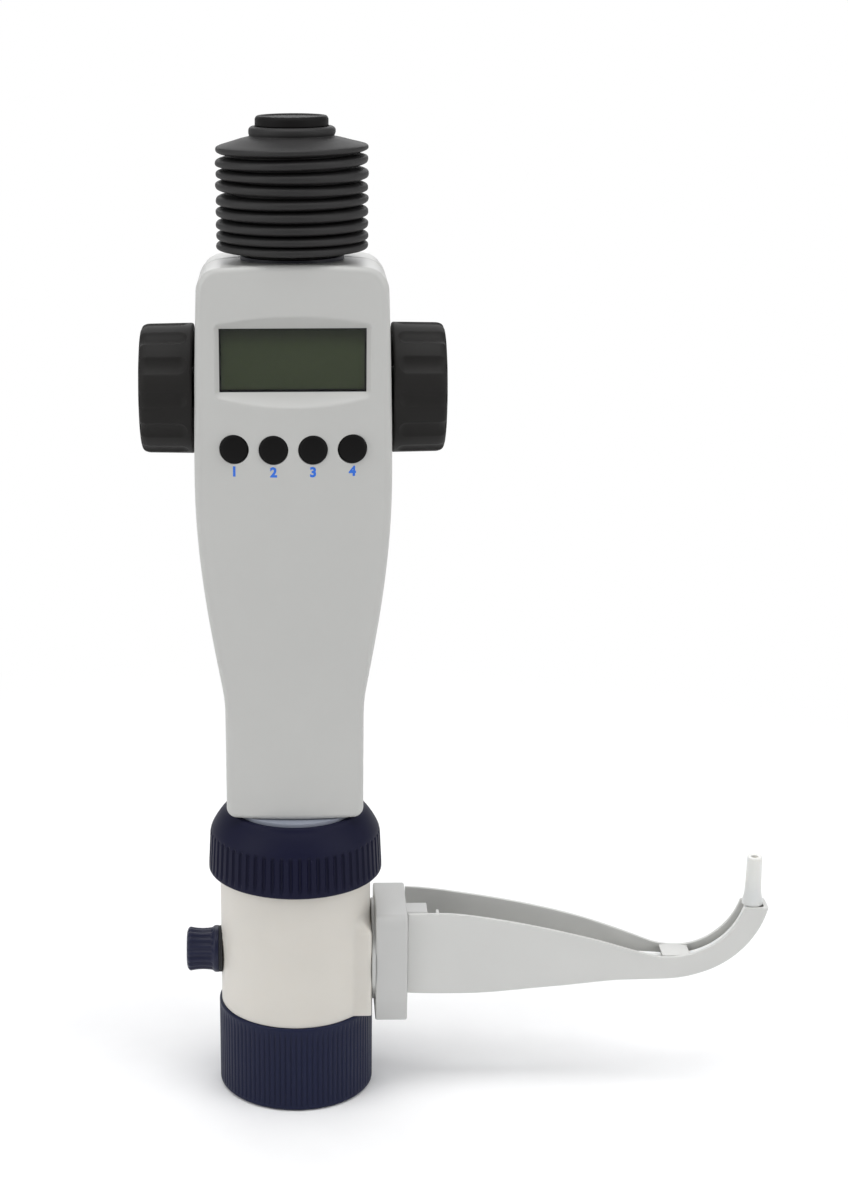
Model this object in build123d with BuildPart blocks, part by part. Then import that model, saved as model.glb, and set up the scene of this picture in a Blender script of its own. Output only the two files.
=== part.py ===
from build123d import *
import math
import os

# Digital bottle-top burette, in millimetres.
# The origin is the centre of the bottle collar's mouth, +Z runs up the instrument,
# the display faces -Y and the discharge arm points along +X.

# Fits
run_gap = 0.05       # radial clearance of a turning or sliding fit
seat_gap = 0.1       # clearance between flat faces that turn past each other
fit_gap = 0.3        # clearance round pieces that only pass close by

# Bottle collar and what it holds
bottle_r = 22.8      # inside radius of the 45 mm bottle thread
bottle_depth = 24.0
collar_r = 27.4
collar_h = 31.7
collar_lip_t = 3.2
collar_rib_count = 90
collar_rib_depth = 0.4
collar_rib_gap_w = 0.9
retaining_r = 22.4
retaining_t = 1.9
retaining_groove_r = 18.8
gasket_t = 1.2
gasket_r = 22.0
gasket_hole_r = 15.0

# Valve block
block_r = 26.5
block_neck_r = 20.0
block_thread_r = 25.6
block_top_z = 93.4
valve_axis_z = 50.0
pad_x = 26.6
pad_w = 34.4
pad_top_z = 68.0
well_r = 9.0
well_top_z = 34.0
nipple_body_r = 6.0
nipple_spigot_r = 3.0
nipple_bore_r = 1.6
inlet_seat_z = 41.0
inlet_seat_r = 5.5
inlet_seat_t = 1.6
inlet_hole_r = 2.0
inlet_ball_r = 3.0
ball_room_r = 4.0
ball_room_top_z = 53.0
riser_r = 2.0
funnel_z = 80.0
return_x = 12.5
return_r = 1.2

# Discharge valve plug, arm hub, arm and nozzle
plug_r = 7.5
plug_x = 9.6
plug_stem_r = 6.0
plug_end_x = 36.0
plug_bore_r = 1.6
outlet_hole_r = 1.5
outlet_ball_r = 2.4
outlet_room_r = 3.2
outlet_room_d = 5.4
oring_wire_r = 0.65
oring_xs = (18.0, 22.5)
hub_disc_r = 17.8
hub_disc_t = 1.3
hub_end_x = 39.2
hub_half_y = 17.0
hub_top_z = 69.0
hub_bottom_z = 28.8
hub_corner_r = 4.0
hub_facet_z = 36.8
hub_facet_in = 2.0
hub_foot_r = 1.2
tongue_l = 7.2
tongue_half_y = 10.3
tongue_low_z = 42.0
tongue_step_z = 60.0
tongue_step_y = -1.5
tongue_notch_x = 3.2
tongue_notch_r = 0.9
arm_root_x = 39.5
arm_wall = 1.3
arm_floor = 1.4
arm_root_top_z = 68.5
arm_root_bottom_z = 38.2
arm_floor_points = ((62.0, 36.9), (90.0, 39.1), (114.0, 40.9))
arm_rim_points = ((104.0, 57.4), (80.0, 63.4), (56.0, 67.5))
arm_root_half_y = 13.0
arm_waist_x = 57.0
arm_waist_half_y = 10.6
arm_middle_x = 98.0
arm_middle_half_y = 10.1
arm_taper_x = 120.0
arm_taper_half_y = 8.5
arm_neck_x = 142.0
arm_neck_half_y = 4.8
arm_tip_half_y = 4.6
arm_rib_x = 50.0
arm_rib_y = -8.4
arm_rib_t = 1.1
arm_rib_w = 6.0
arm_rib_low_z = 44.0
bend_x = 134.4
bend_z = 74.0
bend_rim_r = 25.5
rim_start_angle = -107.2
bend_outer_r = 33.8
arm_tip_z = 66.5
bridge_x = 135.5
bridge_l = 10.0
bridge_half_y = 4.6
bridge_z = 47.9
bridge_t = 0.8
tube_r = 2.0
tube_bore_r = 1.2
tube_bend_r = 27.0
nozzle_x = 162.3
nozzle_top_z = 84.5
nozzle_r = 2.55
nozzle_skirt_r = 3.7

# Vent port and its cap
vent_face_x = -26.0
vent_hole_r = 4.5
vent_hole_end_x = -12.0
vent_boss_r = 9.0
vent_washer_t = 1.3
vent_washer_r = 8.2
vent_cap_r = 7.8
vent_cap_l = 11.5
vent_flange_r = 8.35
vent_stem_l = 11.5
vent_rib_count = 18

# Union nut and cylinder adapter
nut_bottom_z = 81.8
nut_r = 30.4
nut_knee_r = 29.8
nut_knee_z = 95.6
nut_top_z = 105.2
nut_top_r = 23.2
nut_rib_count = 60
nut_rib_depth = 0.7
nut_rib_gap_w = 1.2
adapter_flange_t = 3.6
adapter_flange_r = 25.2
adapter_r = 22.0
ear_h = 16.0
ear_screw_x = 18.8
ear_screw_z = 114.1
ear_screw_l = 9.0
ear_half_y = 13.4
ear_corner_r = 3.0
ear_boss_r = 3.2

# Glass cylinder and piston
bore_r = 14.0
glass_wall = 2.0
glass_top_z = 200.0
seal_t = 1.2
dose_volume = 50000.0
piston_l = 14.4
piston_rest_gap = 1.0
piston_clearance = 0.4
piston_ring_t = 3.0
piston_ring_low = 4.0
piston_groove_r = 11.5
guide_skirt_h = 6.0
guide_top_t = 5.0
guide_wall = 2.4
rod_slot_gap = 0.3

# Housing
housing_bottom_z = 106.1
neck_top_z = 148.0
neck_half_w = 23.5
neck_half_d = 18.6
shoulder_z = 225.0
shoulder_half_w = 32.5
front_d = 22.5
rear_d = 25.0
housing_top_z = 296.2
top_half_w = 30.9
top_corner_r = 7.0
top_arch_r = 230.0
front_bulge_r = 100.0
rear_bulge_r = 140.0
front_corner_r = 2.6
rear_corner_r = 6.0
wall = 2.0
split_y = 5.0
bottom_corner_r = 3.4

# Display, buttons and circuit board
window_w = 47.7
window_h = 20.7
window_z = 265.05
window_t = 1.4
window_lip = 0.6
recess_y = -17.6
recess_taper = 43.0
bezel_w = 54.0
bezel_h = 27.0
bezel_back_y = -15.0
board_front_y = -12.4
board_t = 1.6
board_w = 52.0
board_low_z = 226.0
board_top_z = 281.4
button_z = 236.4
button_pitch = 12.85
button_r = 4.7
button_hole_r = 4.85
button_sleeve_r = 6.2
button_sleeve_back_y = -17.2
button_flange_r = 5.5
button_flange_t = 1.0
button_proud = 0.9
button_edge_r = 1.0
button_back_y = -15.3
mat_w = 51.0
mat_h = 10.6
mat_t = 1.0
dome_r = 3.6
dome_h = 1.2
button_names = ("button_1", "button_2", "button_3", "button_4")

# Rack, gears and handwheels
shaft_z = 252.0
shaft_y = 5.0
shaft_r = 2.0
axle_y = 7.0
rack_module = 1.0
rack_pinion_teeth = 12
rack_pitch_y = 1.0
drive_module = 0.6
drive_pinion_teeth = 12
drive_gear_teeth = 36
addendum = 0.75      # in modules, a stub tooth
dedendum = 1.0       # in modules
backlash = 0.12
pressure_angle = 20.0
rod_half_w = 4.5
rod_front_y = -5.0
rack_pinion_half_w = 4.0
rod_low_z = 102.0
gear_x = 6.0
gear_t = 3.0
drive_pinion_t = 4.2
frame_in_x = 11.5
frame_plate_t = 2.5
frame_back_y = 19.2
frame_back_t = 2.2
frame_low_z = 224.0
frame_high_z = 258.0
encoder_x = -8.2
encoder_r = 7.5
encoder_t = 0.8
encoder_slots = 12
wheel_r = 21.7
wheel_in_x = 32.9
wheel_out_x = 50.5
wheel_wall = 2.4
wheel_edge_r = 2.0
wheel_flutes = 12
flute_r = 5.0
flute_depth = 0.9
flute_in_x = 37.2
bush_r = 4.5
bush_flange_r = 6.0
bush_in_x = 28.6
bush_flange_t = 1.4
wheel_hub_r = 7.0
gear_hub_r = 4.0
sensor_w = 5.6
sensor_tip_y = 0.0

# Battery bay
cell_r = 5.25
cell_l = 44.5
cell_nub_l = 1.0
cell_nub_r = 2.7
contact_t = 0.5
cell_y = 15.6
cell_zs = (267.0, 278.2)
bay_half_w = 22.9
bay_wall = 1.4
bay_low_z = 261.4
bay_high_z = 283.9
bay_floor_y = 10.2
door_gap = 0.2
door_name = "battery_door"

# Bellows
bellows_ring_z = 295.4
bellows_ring_t = 1.5
bellows_ring_r = 17.0
spigot_r = 12.8
spigot_h = 4.5
bellows_r = 24.8
bellows_valley_r = 17.5
bellows_bore_r = 16.2
fold_half_h = 1.3
bellows_neck_r = 15.0
bellows_folds = 8
fold_low_z = 300.0
fold_pitch = 3.85
cone_edge_z = 331.1
bead_r = 14.4
bead_z = 335.6
cap_z = 338.2
cap_top_z = 341.4
cap_r = 12.4

# Screws
screw_r = 1.2
screw_head_r = 2.1
screw_head_t = 1.6
case_screws = ((26.4, 285.6, 2.8), (27.0, 221.0, 2.8), (18.8, 136.0, 2.5))
screw_bite = 6.0
board_screws = ((23.5, 228.6), (23.5, 279.0))
board_screw_r = 0.9
board_screw_bite = 3.0
board_post_r = 2.2
frame_screw_x = 9.0
frame_screw_zs = (227.5, 254.5)
frame_post_r = 2.6
frame_front_y = -3.5


def save(piece, name):
    piece.part.label = name
    export_step(piece.part, f"parts/{name}.step")


def at_y(y):
    """A sketch plane across Y whose normal points to the front, -Y."""
    return Plane(origin=(0, y, 0), x_dir=(1, 0, 0), z_dir=(0, -1, 0))


def at_x(x, y=0, z=0):
    """A sketch plane across X whose normal points along +X, with local x along +Y."""
    return Plane(origin=(x, y, z), x_dir=(0, 1, 0), z_dir=(1, 0, 0))


# Places worked out from the sizes above
gasket_z = bottle_depth + 0.2
foot_z = gasket_z + gasket_t
shoulder_low_z = collar_h + seat_gap
retaining_top_z = collar_h - collar_lip_t - fit_gap
retaining_low_z = retaining_top_z - retaining_t
valve_axis = Axis((0, 0, valve_axis_z), (1, 0, 0))
glass_r = bore_r + glass_wall
seal_z = block_top_z - 2.0
glass_low_z = seal_z + seal_t
stroke = dose_volume / (math.pi * bore_r ** 2)
piston_low_z = glass_low_z + piston_rest_gap
rod_top_z = cap_z - seat_gap
hub_disc_x = pad_x + seat_gap
hub_x = hub_disc_x + hub_disc_t
tongue_top_z = arm_root_top_z - seat_gap * 2
drive_pinion_r = drive_module * drive_pinion_teeth / 2
drive_gear_r = drive_module * drive_gear_teeth / 2
centre_distance = drive_pinion_r + drive_gear_r
axle_z = shaft_z - math.sqrt(centre_distance ** 2 - (axle_y - shaft_y) ** 2)
mesh_angle = math.degrees(math.atan2(shaft_z - axle_z, shaft_y - axle_y))
board_back_y = board_front_y + board_t
case_seat_ys = [
    depth - x ** 2 / (2 * rear_bulge_r) - screw_head_t - 0.7
    for (x, z, r), depth in zip(case_screws, (rear_d - 0.3, rear_d, neck_half_d))
]
ear_seat_y = neck_half_d - ear_screw_x ** 2 / (2 * rear_bulge_r) - screw_head_t - 0.4
adapter_low_z = block_top_z + seat_gap
adapter_shelf_z = adapter_low_z + adapter_flange_t

# Bottle collar, a ribbed screw ring with an inner lip that the block turns in
with BuildPart() as bottle_collar:
    with BuildSketch(Plane.XZ):
        with BuildLine():
            Polyline(
                (bottle_r, 0),
                (collar_r - 0.8, 0),
                (collar_r, 0.8),
                (collar_r, collar_h - 0.4),
                (collar_r - 0.4, collar_h),
                (block_neck_r + fit_gap, collar_h),
                (block_neck_r + fit_gap, collar_h - collar_lip_t),
                (bottle_r + 0.4, collar_h - collar_lip_t),
                (bottle_r + 0.4, bottle_depth),
                (bottle_r, bottle_depth),
                close=True,
            )
        make_face()
    revolve(axis=Axis.Z)
    with BuildSketch(Plane.XY.offset(1.6)):
        with PolarLocations(collar_r, collar_rib_count):
            Rectangle(2 * collar_rib_depth, collar_rib_gap_w)
    extrude(amount=collar_h - 2.8, mode=Mode.SUBTRACT)
save(bottle_collar, "bottle_collar")

# Retaining ring that holds the collar on the block's neck
with BuildPart() as retaining_ring:
    with BuildSketch(Plane.XY.offset(retaining_low_z)):
        Circle(retaining_r)
        Circle(retaining_groove_r, mode=Mode.SUBTRACT)
    extrude(amount=retaining_t)
save(retaining_ring, "retaining_ring")

# Flat gasket that seals the bottle's rim
with BuildPart() as bottle_gasket:
    with BuildSketch(Plane.XY.offset(gasket_z)):
        Circle(gasket_r)
        Circle(gasket_hole_r, mode=Mode.SUBTRACT)
    extrude(amount=gasket_t)
save(bottle_gasket, "bottle_gasket")

# Valve block, one turned and drilled body that carries the cylinder, the arm and the vent
with BuildPart() as valve_block:
    with BuildSketch(Plane.XZ):
        with BuildLine():
            Polyline(
                (0, foot_z),
                (block_neck_r, foot_z),
                (block_neck_r, shoulder_low_z),
                (block_r, shoulder_low_z),
                (block_r, nut_bottom_z + 2.2),
                (block_thread_r, nut_bottom_z + 3.0),
                (block_thread_r, block_top_z),
                (0, block_top_z),
                close=True,
            )
        make_face()
    revolve(axis=Axis.Z)
    with BuildSketch(Plane.XY.offset(shoulder_low_z)):
        with Locations((pad_x / 2, 0)):
            Rectangle(pad_x, pad_w)
    extrude(amount=pad_top_z - shoulder_low_z)
    with BuildSketch(at_x(vent_face_x)):
        with Locations((0, valve_axis_z)):
            Circle(vent_boss_r)
    extrude(amount=12)
    with BuildSketch(at_x(vent_face_x)):
        with Locations((0, valve_axis_z)):
            Circle(vent_boss_r)
    extrude(amount=-2, mode=Mode.SUBTRACT)
    with BuildSketch(Plane.XY.offset(retaining_low_z)):
        Circle(block_neck_r + 1)
        Circle(retaining_groove_r, mode=Mode.SUBTRACT)
    extrude(amount=retaining_t, mode=Mode.SUBTRACT)
    with BuildSketch(Plane.XZ):
        with BuildLine():
            Polyline(
                (0, foot_z),
                (well_r, foot_z),
                (well_r, well_top_z),
                (nipple_body_r, well_top_z),
                (nipple_body_r, inlet_seat_z),
                (inlet_seat_r, inlet_seat_z),
                (inlet_seat_r, inlet_seat_z + inlet_seat_t),
                (ball_room_r, inlet_seat_z + inlet_seat_t),
                (ball_room_r, ball_room_top_z),
                (riser_r, ball_room_top_z + 2),
                (riser_r, funnel_z),
                (bore_r - 1, seal_z),
                (glass_r + fit_gap, seal_z),
                (glass_r + fit_gap, block_top_z),
                (0, block_top_z),
                close=True,
            )
        make_face()
    revolve(axis=Axis.Z, mode=Mode.SUBTRACT)
    with BuildSketch(at_x(plug_x - seat_gap)):
        with Locations((0, valve_axis_z)):
            Circle(plug_r + run_gap)
    extrude(amount=pad_x, mode=Mode.SUBTRACT)
    with BuildSketch(at_x(0)):
        with Locations((0, valve_axis_z)):
            Circle(outlet_hole_r)
    extrude(amount=plug_x, mode=Mode.SUBTRACT)
    with BuildSketch(at_x(vent_face_x)):
        with Locations((0, valve_axis_z)):
            Circle(vent_hole_r)
    extrude(amount=vent_hole_end_x - vent_face_x, mode=Mode.SUBTRACT)
    with BuildSketch(Plane.XY.offset(foot_z)):
        with Locations((return_x, 0), (vent_hole_end_x - 1.5, 0)):
            Circle(return_r)
    extrude(amount=valve_axis_z - foot_z, mode=Mode.SUBTRACT)
save(valve_block, "valve_block")

# Inlet nipple, screwed into the well under the block, with a spigot for the suction tube
with BuildPart() as inlet_nipple:
    with BuildSketch(Plane.XY.offset(foot_z)):
        Circle(nipple_spigot_r)
    extrude(amount=well_top_z - foot_z)
    with BuildSketch(Plane.XY.offset(well_top_z)):
        Circle(nipple_body_r)
    extrude(amount=inlet_seat_z - well_top_z)
    with BuildSketch(Plane.XY.offset(foot_z)):
        Circle(nipple_bore_r)
    extrude(amount=inlet_seat_z - foot_z, mode=Mode.SUBTRACT)
save(inlet_nipple, "inlet_nipple")

# Inlet valve, a ball on a ring seat
with BuildPart() as inlet_seat:
    with BuildSketch(Plane.XY.offset(inlet_seat_z)):
        Circle(inlet_seat_r)
        Circle(inlet_hole_r, mode=Mode.SUBTRACT)
    extrude(amount=inlet_seat_t)
save(inlet_seat, "inlet_seat")

inlet_ball_z = inlet_seat_z + inlet_seat_t + math.sqrt(inlet_ball_r ** 2 - inlet_hole_r ** 2)
with BuildPart() as inlet_ball:
    with Locations((0, 0, inlet_ball_z + 0.02)):
        Sphere(inlet_ball_r)
save(inlet_ball, "inlet_ball")

outlet_ball_x = plug_x - seat_gap + math.sqrt(outlet_ball_r ** 2 - outlet_hole_r ** 2)
with BuildPart() as outlet_ball:
    with Locations((outlet_ball_x + 0.02, 0, valve_axis_z)):
        Sphere(outlet_ball_r)
save(outlet_ball, "outlet_ball")

# Valve plug, which turns with the arm and switches between return and discharge
with BuildPart() as valve_plug:
    with BuildSketch(at_x(plug_x)):
        with Locations((0, valve_axis_z)):
            Circle(plug_r)
    extrude(amount=pad_x - plug_x)
    with BuildSketch(at_x(pad_x)):
        with Locations((0, valve_axis_z)):
            Circle(plug_stem_r)
    extrude(amount=plug_end_x - pad_x)
    with BuildSketch(at_x(plug_x)):
        with Locations((0, valve_axis_z)):
            Circle(plug_bore_r)
    extrude(amount=plug_end_x - plug_x, mode=Mode.SUBTRACT)
    with BuildSketch(at_x(plug_x)):
        with Locations((0, valve_axis_z)):
            Circle(outlet_room_r)
    extrude(amount=outlet_room_d, mode=Mode.SUBTRACT)
    for groove_x in oring_xs:
        with BuildSketch(at_x(groove_x - 1.1 * oring_wire_r)):
            with Locations((0, valve_axis_z)):
                Circle(plug_r + 1)
                Circle(plug_r - 2 * oring_wire_r, mode=Mode.SUBTRACT)
        extrude(amount=2.2 * oring_wire_r, mode=Mode.SUBTRACT)
save(valve_plug, "valve_plug")

for ring_name, ring_x in zip(("plug_ring_inner", "plug_ring_outer"), oring_xs):
    with BuildPart() as plug_ring:
        with BuildSketch(Plane.XZ):
            with Locations((ring_x, valve_axis_z + plug_r - oring_wire_r)):
                Circle(oring_wire_r)
        revolve(axis=valve_axis)
    save(plug_ring, ring_name)

# Hub disc, the flat plate between the block's pad and the arm hub, round the plug's stem
with BuildPart() as hub_disc:
    with BuildSketch(at_x(hub_disc_x)):
        with Locations((0, valve_axis_z)):
            Circle(hub_disc_r)
            Circle(plug_stem_r, mode=Mode.SUBTRACT)
    extrude(amount=hub_disc_t)
    chamfer(hub_disc.faces().sort_by(Axis.X)[0].outer_wire().edges(), hub_disc_t / 4)
save(hub_disc, "hub_disc")

# Arm hub, a rounded block that turns with the disc and carries the arm
with BuildPart() as arm_hub:
    with BuildSketch(at_x(hub_x)) as hub_outline:
        with BuildLine():
            Polyline(
                (-hub_half_y, hub_facet_z),
                (-hub_half_y, hub_top_z),
                (hub_half_y, hub_top_z),
                (hub_half_y, hub_facet_z),
                (hub_half_y - hub_facet_in, hub_bottom_z),
                (hub_facet_in - hub_half_y, hub_bottom_z),
                close=True,
            )
        make_face()
        fillet(hub_outline.vertices().group_by(Axis.Y)[-1], hub_corner_r)
        fillet(hub_outline.vertices().group_by(Axis.Y)[0], hub_foot_r)
    extrude(amount=hub_end_x - hub_x)
    with BuildSketch(at_x(hub_end_x)):
        with BuildLine():
            Polyline(
                (-tongue_half_y, tongue_low_z),
                (-tongue_half_y, tongue_top_z),
                (tongue_step_y, tongue_top_z),
                (tongue_step_y, tongue_step_z),
                (tongue_half_y, tongue_step_z),
                (tongue_half_y, tongue_low_z),
                close=True,
            )
        make_face()
    extrude(amount=tongue_l)
    with BuildSketch(Plane.XY.offset(tongue_step_z)):
        with Locations((hub_end_x + tongue_notch_x, tongue_step_y)):
            Circle(tongue_notch_r)
    extrude(amount=tongue_top_z - tongue_step_z, mode=Mode.SUBTRACT)
    with BuildSketch(at_x(hub_x)):
        with Locations((0, valve_axis_z)):
            Circle(plug_stem_r)
    extrude(amount=plug_end_x - hub_x, mode=Mode.SUBTRACT)
    with BuildSketch(at_x(plug_end_x)):
        with Locations((0, valve_axis_z)):
            Circle(tube_r)
    extrude(amount=hub_end_x + tongue_l - plug_end_x, mode=Mode.SUBTRACT)
save(arm_hub, "arm_hub")


def arm_floor_line(lift):
    """The arm's underside, from the root to the tip, raised into the channel by lift."""
    root = (arm_root_x, arm_root_bottom_z + lift)
    low = (bend_x, bend_z - bend_outer_r + lift)
    reach = bend_outer_r - lift
    rise = arm_tip_z - bend_z
    tip = (bend_x + math.sqrt(reach ** 2 - rise ** 2), arm_tip_z)
    Spline(root, *[(x, z + lift) for x, z in arm_floor_points], low, tangents=[(1, -0.08), (1, 0)])
    CenterArc((bend_x, bend_z), reach, -90, 90 + math.degrees(math.asin(rise / reach)))
    return root, tip


def arm_plan(inset):
    """Half of the arm's plan outline on its +Y side, drawn as a closed face over both sides."""
    root_x = arm_root_x - inset * 3
    tip_x = bend_x + bend_outer_r + 2
    for side in (1, -1):
        middle = (arm_middle_x, side * (arm_middle_half_y - inset))
        taper = (arm_taper_x, side * (arm_taper_half_y - inset))
        neck = (arm_neck_x, side * (arm_neck_half_y - inset))
        Polyline(
            (root_x, side * (arm_root_half_y - inset)),
            (arm_waist_x, side * (arm_waist_half_y - inset)),
            middle,
        )
        Spline(middle, taper, neck, tangents=[(1, -0.02 * side), (1, -0.03 * side)])
        Line(neck, (tip_x, side * (arm_tip_half_y - inset)))
    Line((root_x, arm_root_half_y - inset), (root_x, inset - arm_root_half_y))
    Line((tip_x, arm_tip_half_y - inset), (tip_x, inset - arm_tip_half_y))


# Arm shell, a long moulded channel that is open along its upper side
with BuildPart() as arm_cavity:
    with BuildSketch(at_y(20)):
        with BuildLine():
            arm_low_end, arm_high_end = arm_floor_line(arm_floor)
            Polyline(
                arm_high_end,
                (arm_high_end[0], bend_z + 10),
                (arm_root_x - 2, bend_z + 20),
                (arm_root_x - 2, arm_low_end[1]),
                arm_low_end,
            )
        make_face()
    extrude(amount=40)
    with BuildSketch(Plane.XY.offset(0)):
        with BuildLine():
            arm_plan(arm_wall)
        make_face()
    extrude(amount=120, mode=Mode.INTERSECT)

with BuildPart() as arm_shell:
    with BuildSketch(at_y(20)):
        with BuildLine():
            arm_low_end, arm_high_end = arm_floor_line(0)
            rim_rise = arm_tip_z - bend_z
            rim_tip = (bend_x + math.sqrt(bend_rim_r ** 2 - rim_rise ** 2), arm_tip_z)
            rim_start = (
                bend_x + bend_rim_r * math.cos(math.radians(rim_start_angle)),
                bend_z + bend_rim_r * math.sin(math.radians(rim_start_angle)),
            )
            Line(arm_high_end, rim_tip)
            CenterArc(
                (bend_x, bend_z),
                bend_rim_r,
                rim_start_angle,
                -rim_start_angle + math.degrees(math.asin(rim_rise / bend_rim_r)),
            )
            Spline(
                rim_start,
                *arm_rim_points,
                (arm_root_x, arm_root_top_z),
                tangents=[(-1, 0.31), (-1, 0.03)],
            )
            Line((arm_root_x, arm_root_top_z), arm_low_end)
        make_face()
    extrude(amount=40)
    with BuildSketch(Plane.XY.offset(0)):
        with BuildLine():
            arm_plan(0)
        make_face()
    extrude(amount=120, mode=Mode.INTERSECT)
    add(arm_cavity.part, mode=Mode.SUBTRACT)
    with BuildSketch(Plane.XY.offset(arm_rib_low_z)):
        with Locations((arm_rib_x, arm_rib_y)):
            Rectangle(arm_rib_t, arm_rib_w)
    extrude(amount=arm_root_top_z - arm_rib_low_z - 0.5)
    with BuildSketch(Plane.XY.offset(bridge_z)):
        with Locations((bridge_x, 0)):
            Rectangle(bridge_l, 2 * bridge_half_y)
    extrude(amount=bridge_t)
save(arm_shell, "arm_shell")

# Discharge tube, held in the channel from the hub to the nozzle
with BuildPart() as discharge_tube:
    with BuildLine() as tube_path:
        FilletPolyline(
            (plug_end_x, 0, valve_axis_z),
            (60, 0, valve_axis_z),
            (nozzle_x, 0, 43.6),
            (nozzle_x, 0, arm_tip_z + 8),
            radius=tube_bend_r,
        )
    with BuildSketch(at_x(plug_end_x)):
        with Locations((0, valve_axis_z)):
            Circle(tube_r)
            Circle(tube_bore_r, mode=Mode.SUBTRACT)
    sweep(path=tube_path.wires()[0])
save(discharge_tube, "discharge_tube")

# Nozzle, a flared translucent tip that stands on the end of the channel
with BuildPart() as nozzle:
    with BuildSketch(Plane.XZ):
        with BuildLine():
            Polyline(
                (nozzle_x + nozzle_skirt_r - 0.7, arm_tip_z + 0.1),
                (nozzle_x + nozzle_skirt_r, arm_tip_z + 0.1),
                (nozzle_x + nozzle_skirt_r, arm_tip_z + 2.2),
                (nozzle_x + nozzle_r + 0.2, arm_tip_z + 7.0),
                (nozzle_x + nozzle_r, arm_tip_z + 12.0),
                (nozzle_x + nozzle_r, nozzle_top_z - 0.4),
                (nozzle_x + nozzle_r - 0.4, nozzle_top_z),
                (nozzle_x + tube_bore_r, nozzle_top_z),
                (nozzle_x + tube_bore_r, arm_tip_z + 8),
                (nozzle_x + tube_r, arm_tip_z + 8),
                (nozzle_x + tube_r, arm_tip_z + 6.5),
                (nozzle_x + nozzle_skirt_r - 0.7, arm_tip_z + 2.0),
                close=True,
            )
        make_face()
    revolve(axis=Axis((nozzle_x, 0, 0), (0, 0, 1)))
save(nozzle, "nozzle")

# Vent cap with its stem and washer
with BuildPart() as vent_cap:
    cap_face_x = vent_face_x - vent_washer_t
    with BuildSketch(Plane.XZ):
        with BuildLine():
            Polyline(
                (cap_face_x + vent_stem_l, valve_axis_z),
                (cap_face_x + vent_stem_l, valve_axis_z + vent_hole_r - 0.1),
                (cap_face_x, valve_axis_z + vent_hole_r - 0.1),
                (cap_face_x, valve_axis_z + vent_flange_r),
                (cap_face_x - 1.4, valve_axis_z + vent_flange_r),
                (cap_face_x - 2.2, valve_axis_z + vent_cap_r - 0.3),
            )
            ThreePointArc(
                (cap_face_x - 2.2, valve_axis_z + vent_cap_r - 0.3),
                (cap_face_x - 6.4, valve_axis_z + vent_cap_r - 0.5),
                (cap_face_x - vent_cap_l + 1.2, valve_axis_z + vent_cap_r),
            )
            Polyline(
                (cap_face_x - vent_cap_l + 1.2, valve_axis_z + vent_cap_r),
                (cap_face_x - vent_cap_l, valve_axis_z + vent_cap_r - 1.2),
                (cap_face_x - vent_cap_l, valve_axis_z),
                (cap_face_x + vent_stem_l, valve_axis_z),
            )
        make_face()
    revolve(axis=valve_axis)
    with BuildSketch(at_x(cap_face_x - vent_cap_l)):
        with Locations((0, valve_axis_z)):
            with PolarLocations(vent_cap_r + 0.1, vent_rib_count):
                Rectangle(1.2, 1.1)
    extrude(amount=vent_cap_l - 1.6, mode=Mode.SUBTRACT)
save(vent_cap, "vent_cap")

with BuildPart() as vent_washer:
    with BuildSketch(at_x(cap_face_x)):
        with Locations((0, valve_axis_z)):
            Circle(vent_washer_r)
            Circle(vent_hole_r, mode=Mode.SUBTRACT)
    extrude(amount=vent_washer_t)
save(vent_washer, "vent_washer")

# Union nut, the ribbed ring that clamps the cylinder adapter on the block
with BuildPart() as union_nut:
    with BuildSketch(Plane.XZ):
        with BuildLine():
            Polyline(
                (block_r + fit_gap, nut_bottom_z),
                (nut_r, nut_bottom_z),
                (nut_r, nut_knee_z - 6),
                (nut_knee_r, nut_knee_z),
            )
            ThreePointArc(
                (nut_knee_r, nut_knee_z),
                (nut_knee_r - 1.7, nut_knee_z + 4.6),
                (nut_top_r + 1.4, nut_top_z - 1.8),
            )
            Polyline(
                (nut_top_r + 1.4, nut_top_z - 1.8),
                (nut_top_r, nut_top_z),
                (adapter_r + fit_gap, nut_top_z),
                (adapter_r + fit_gap, adapter_shelf_z + fit_gap),
                (block_thread_r + 0.2, adapter_shelf_z + fit_gap),
                (block_thread_r + 0.2, nut_bottom_z + 3.2),
                (block_r + fit_gap, nut_bottom_z + 3.2),
                (block_r + fit_gap, nut_bottom_z),
            )
        make_face()
    revolve(axis=Axis.Z)
    with BuildSketch(Plane.XY.offset(nut_bottom_z + 1.3)):
        with PolarLocations(nut_r, nut_rib_count):
            Rectangle(2 * nut_rib_depth, nut_rib_gap_w)
    extrude(amount=nut_knee_z - nut_bottom_z, mode=Mode.SUBTRACT)
save(union_nut, "union_nut")

# Seal under the glass cylinder
with BuildPart() as cylinder_seal:
    with BuildSketch(Plane.XY.offset(seal_z)):
        Circle(glass_r)
        Circle(bore_r - 1, mode=Mode.SUBTRACT)
    extrude(amount=seal_t)
save(cylinder_seal, "cylinder_seal")

# Glass cylinder
with BuildPart() as glass_cylinder:
    with BuildSketch(Plane.XY.offset(glass_low_z)):
        Circle(glass_r)
        Circle(bore_r, mode=Mode.SUBTRACT)
    extrude(amount=glass_top_z - glass_low_z)
save(glass_cylinder, "glass_cylinder")

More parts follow.
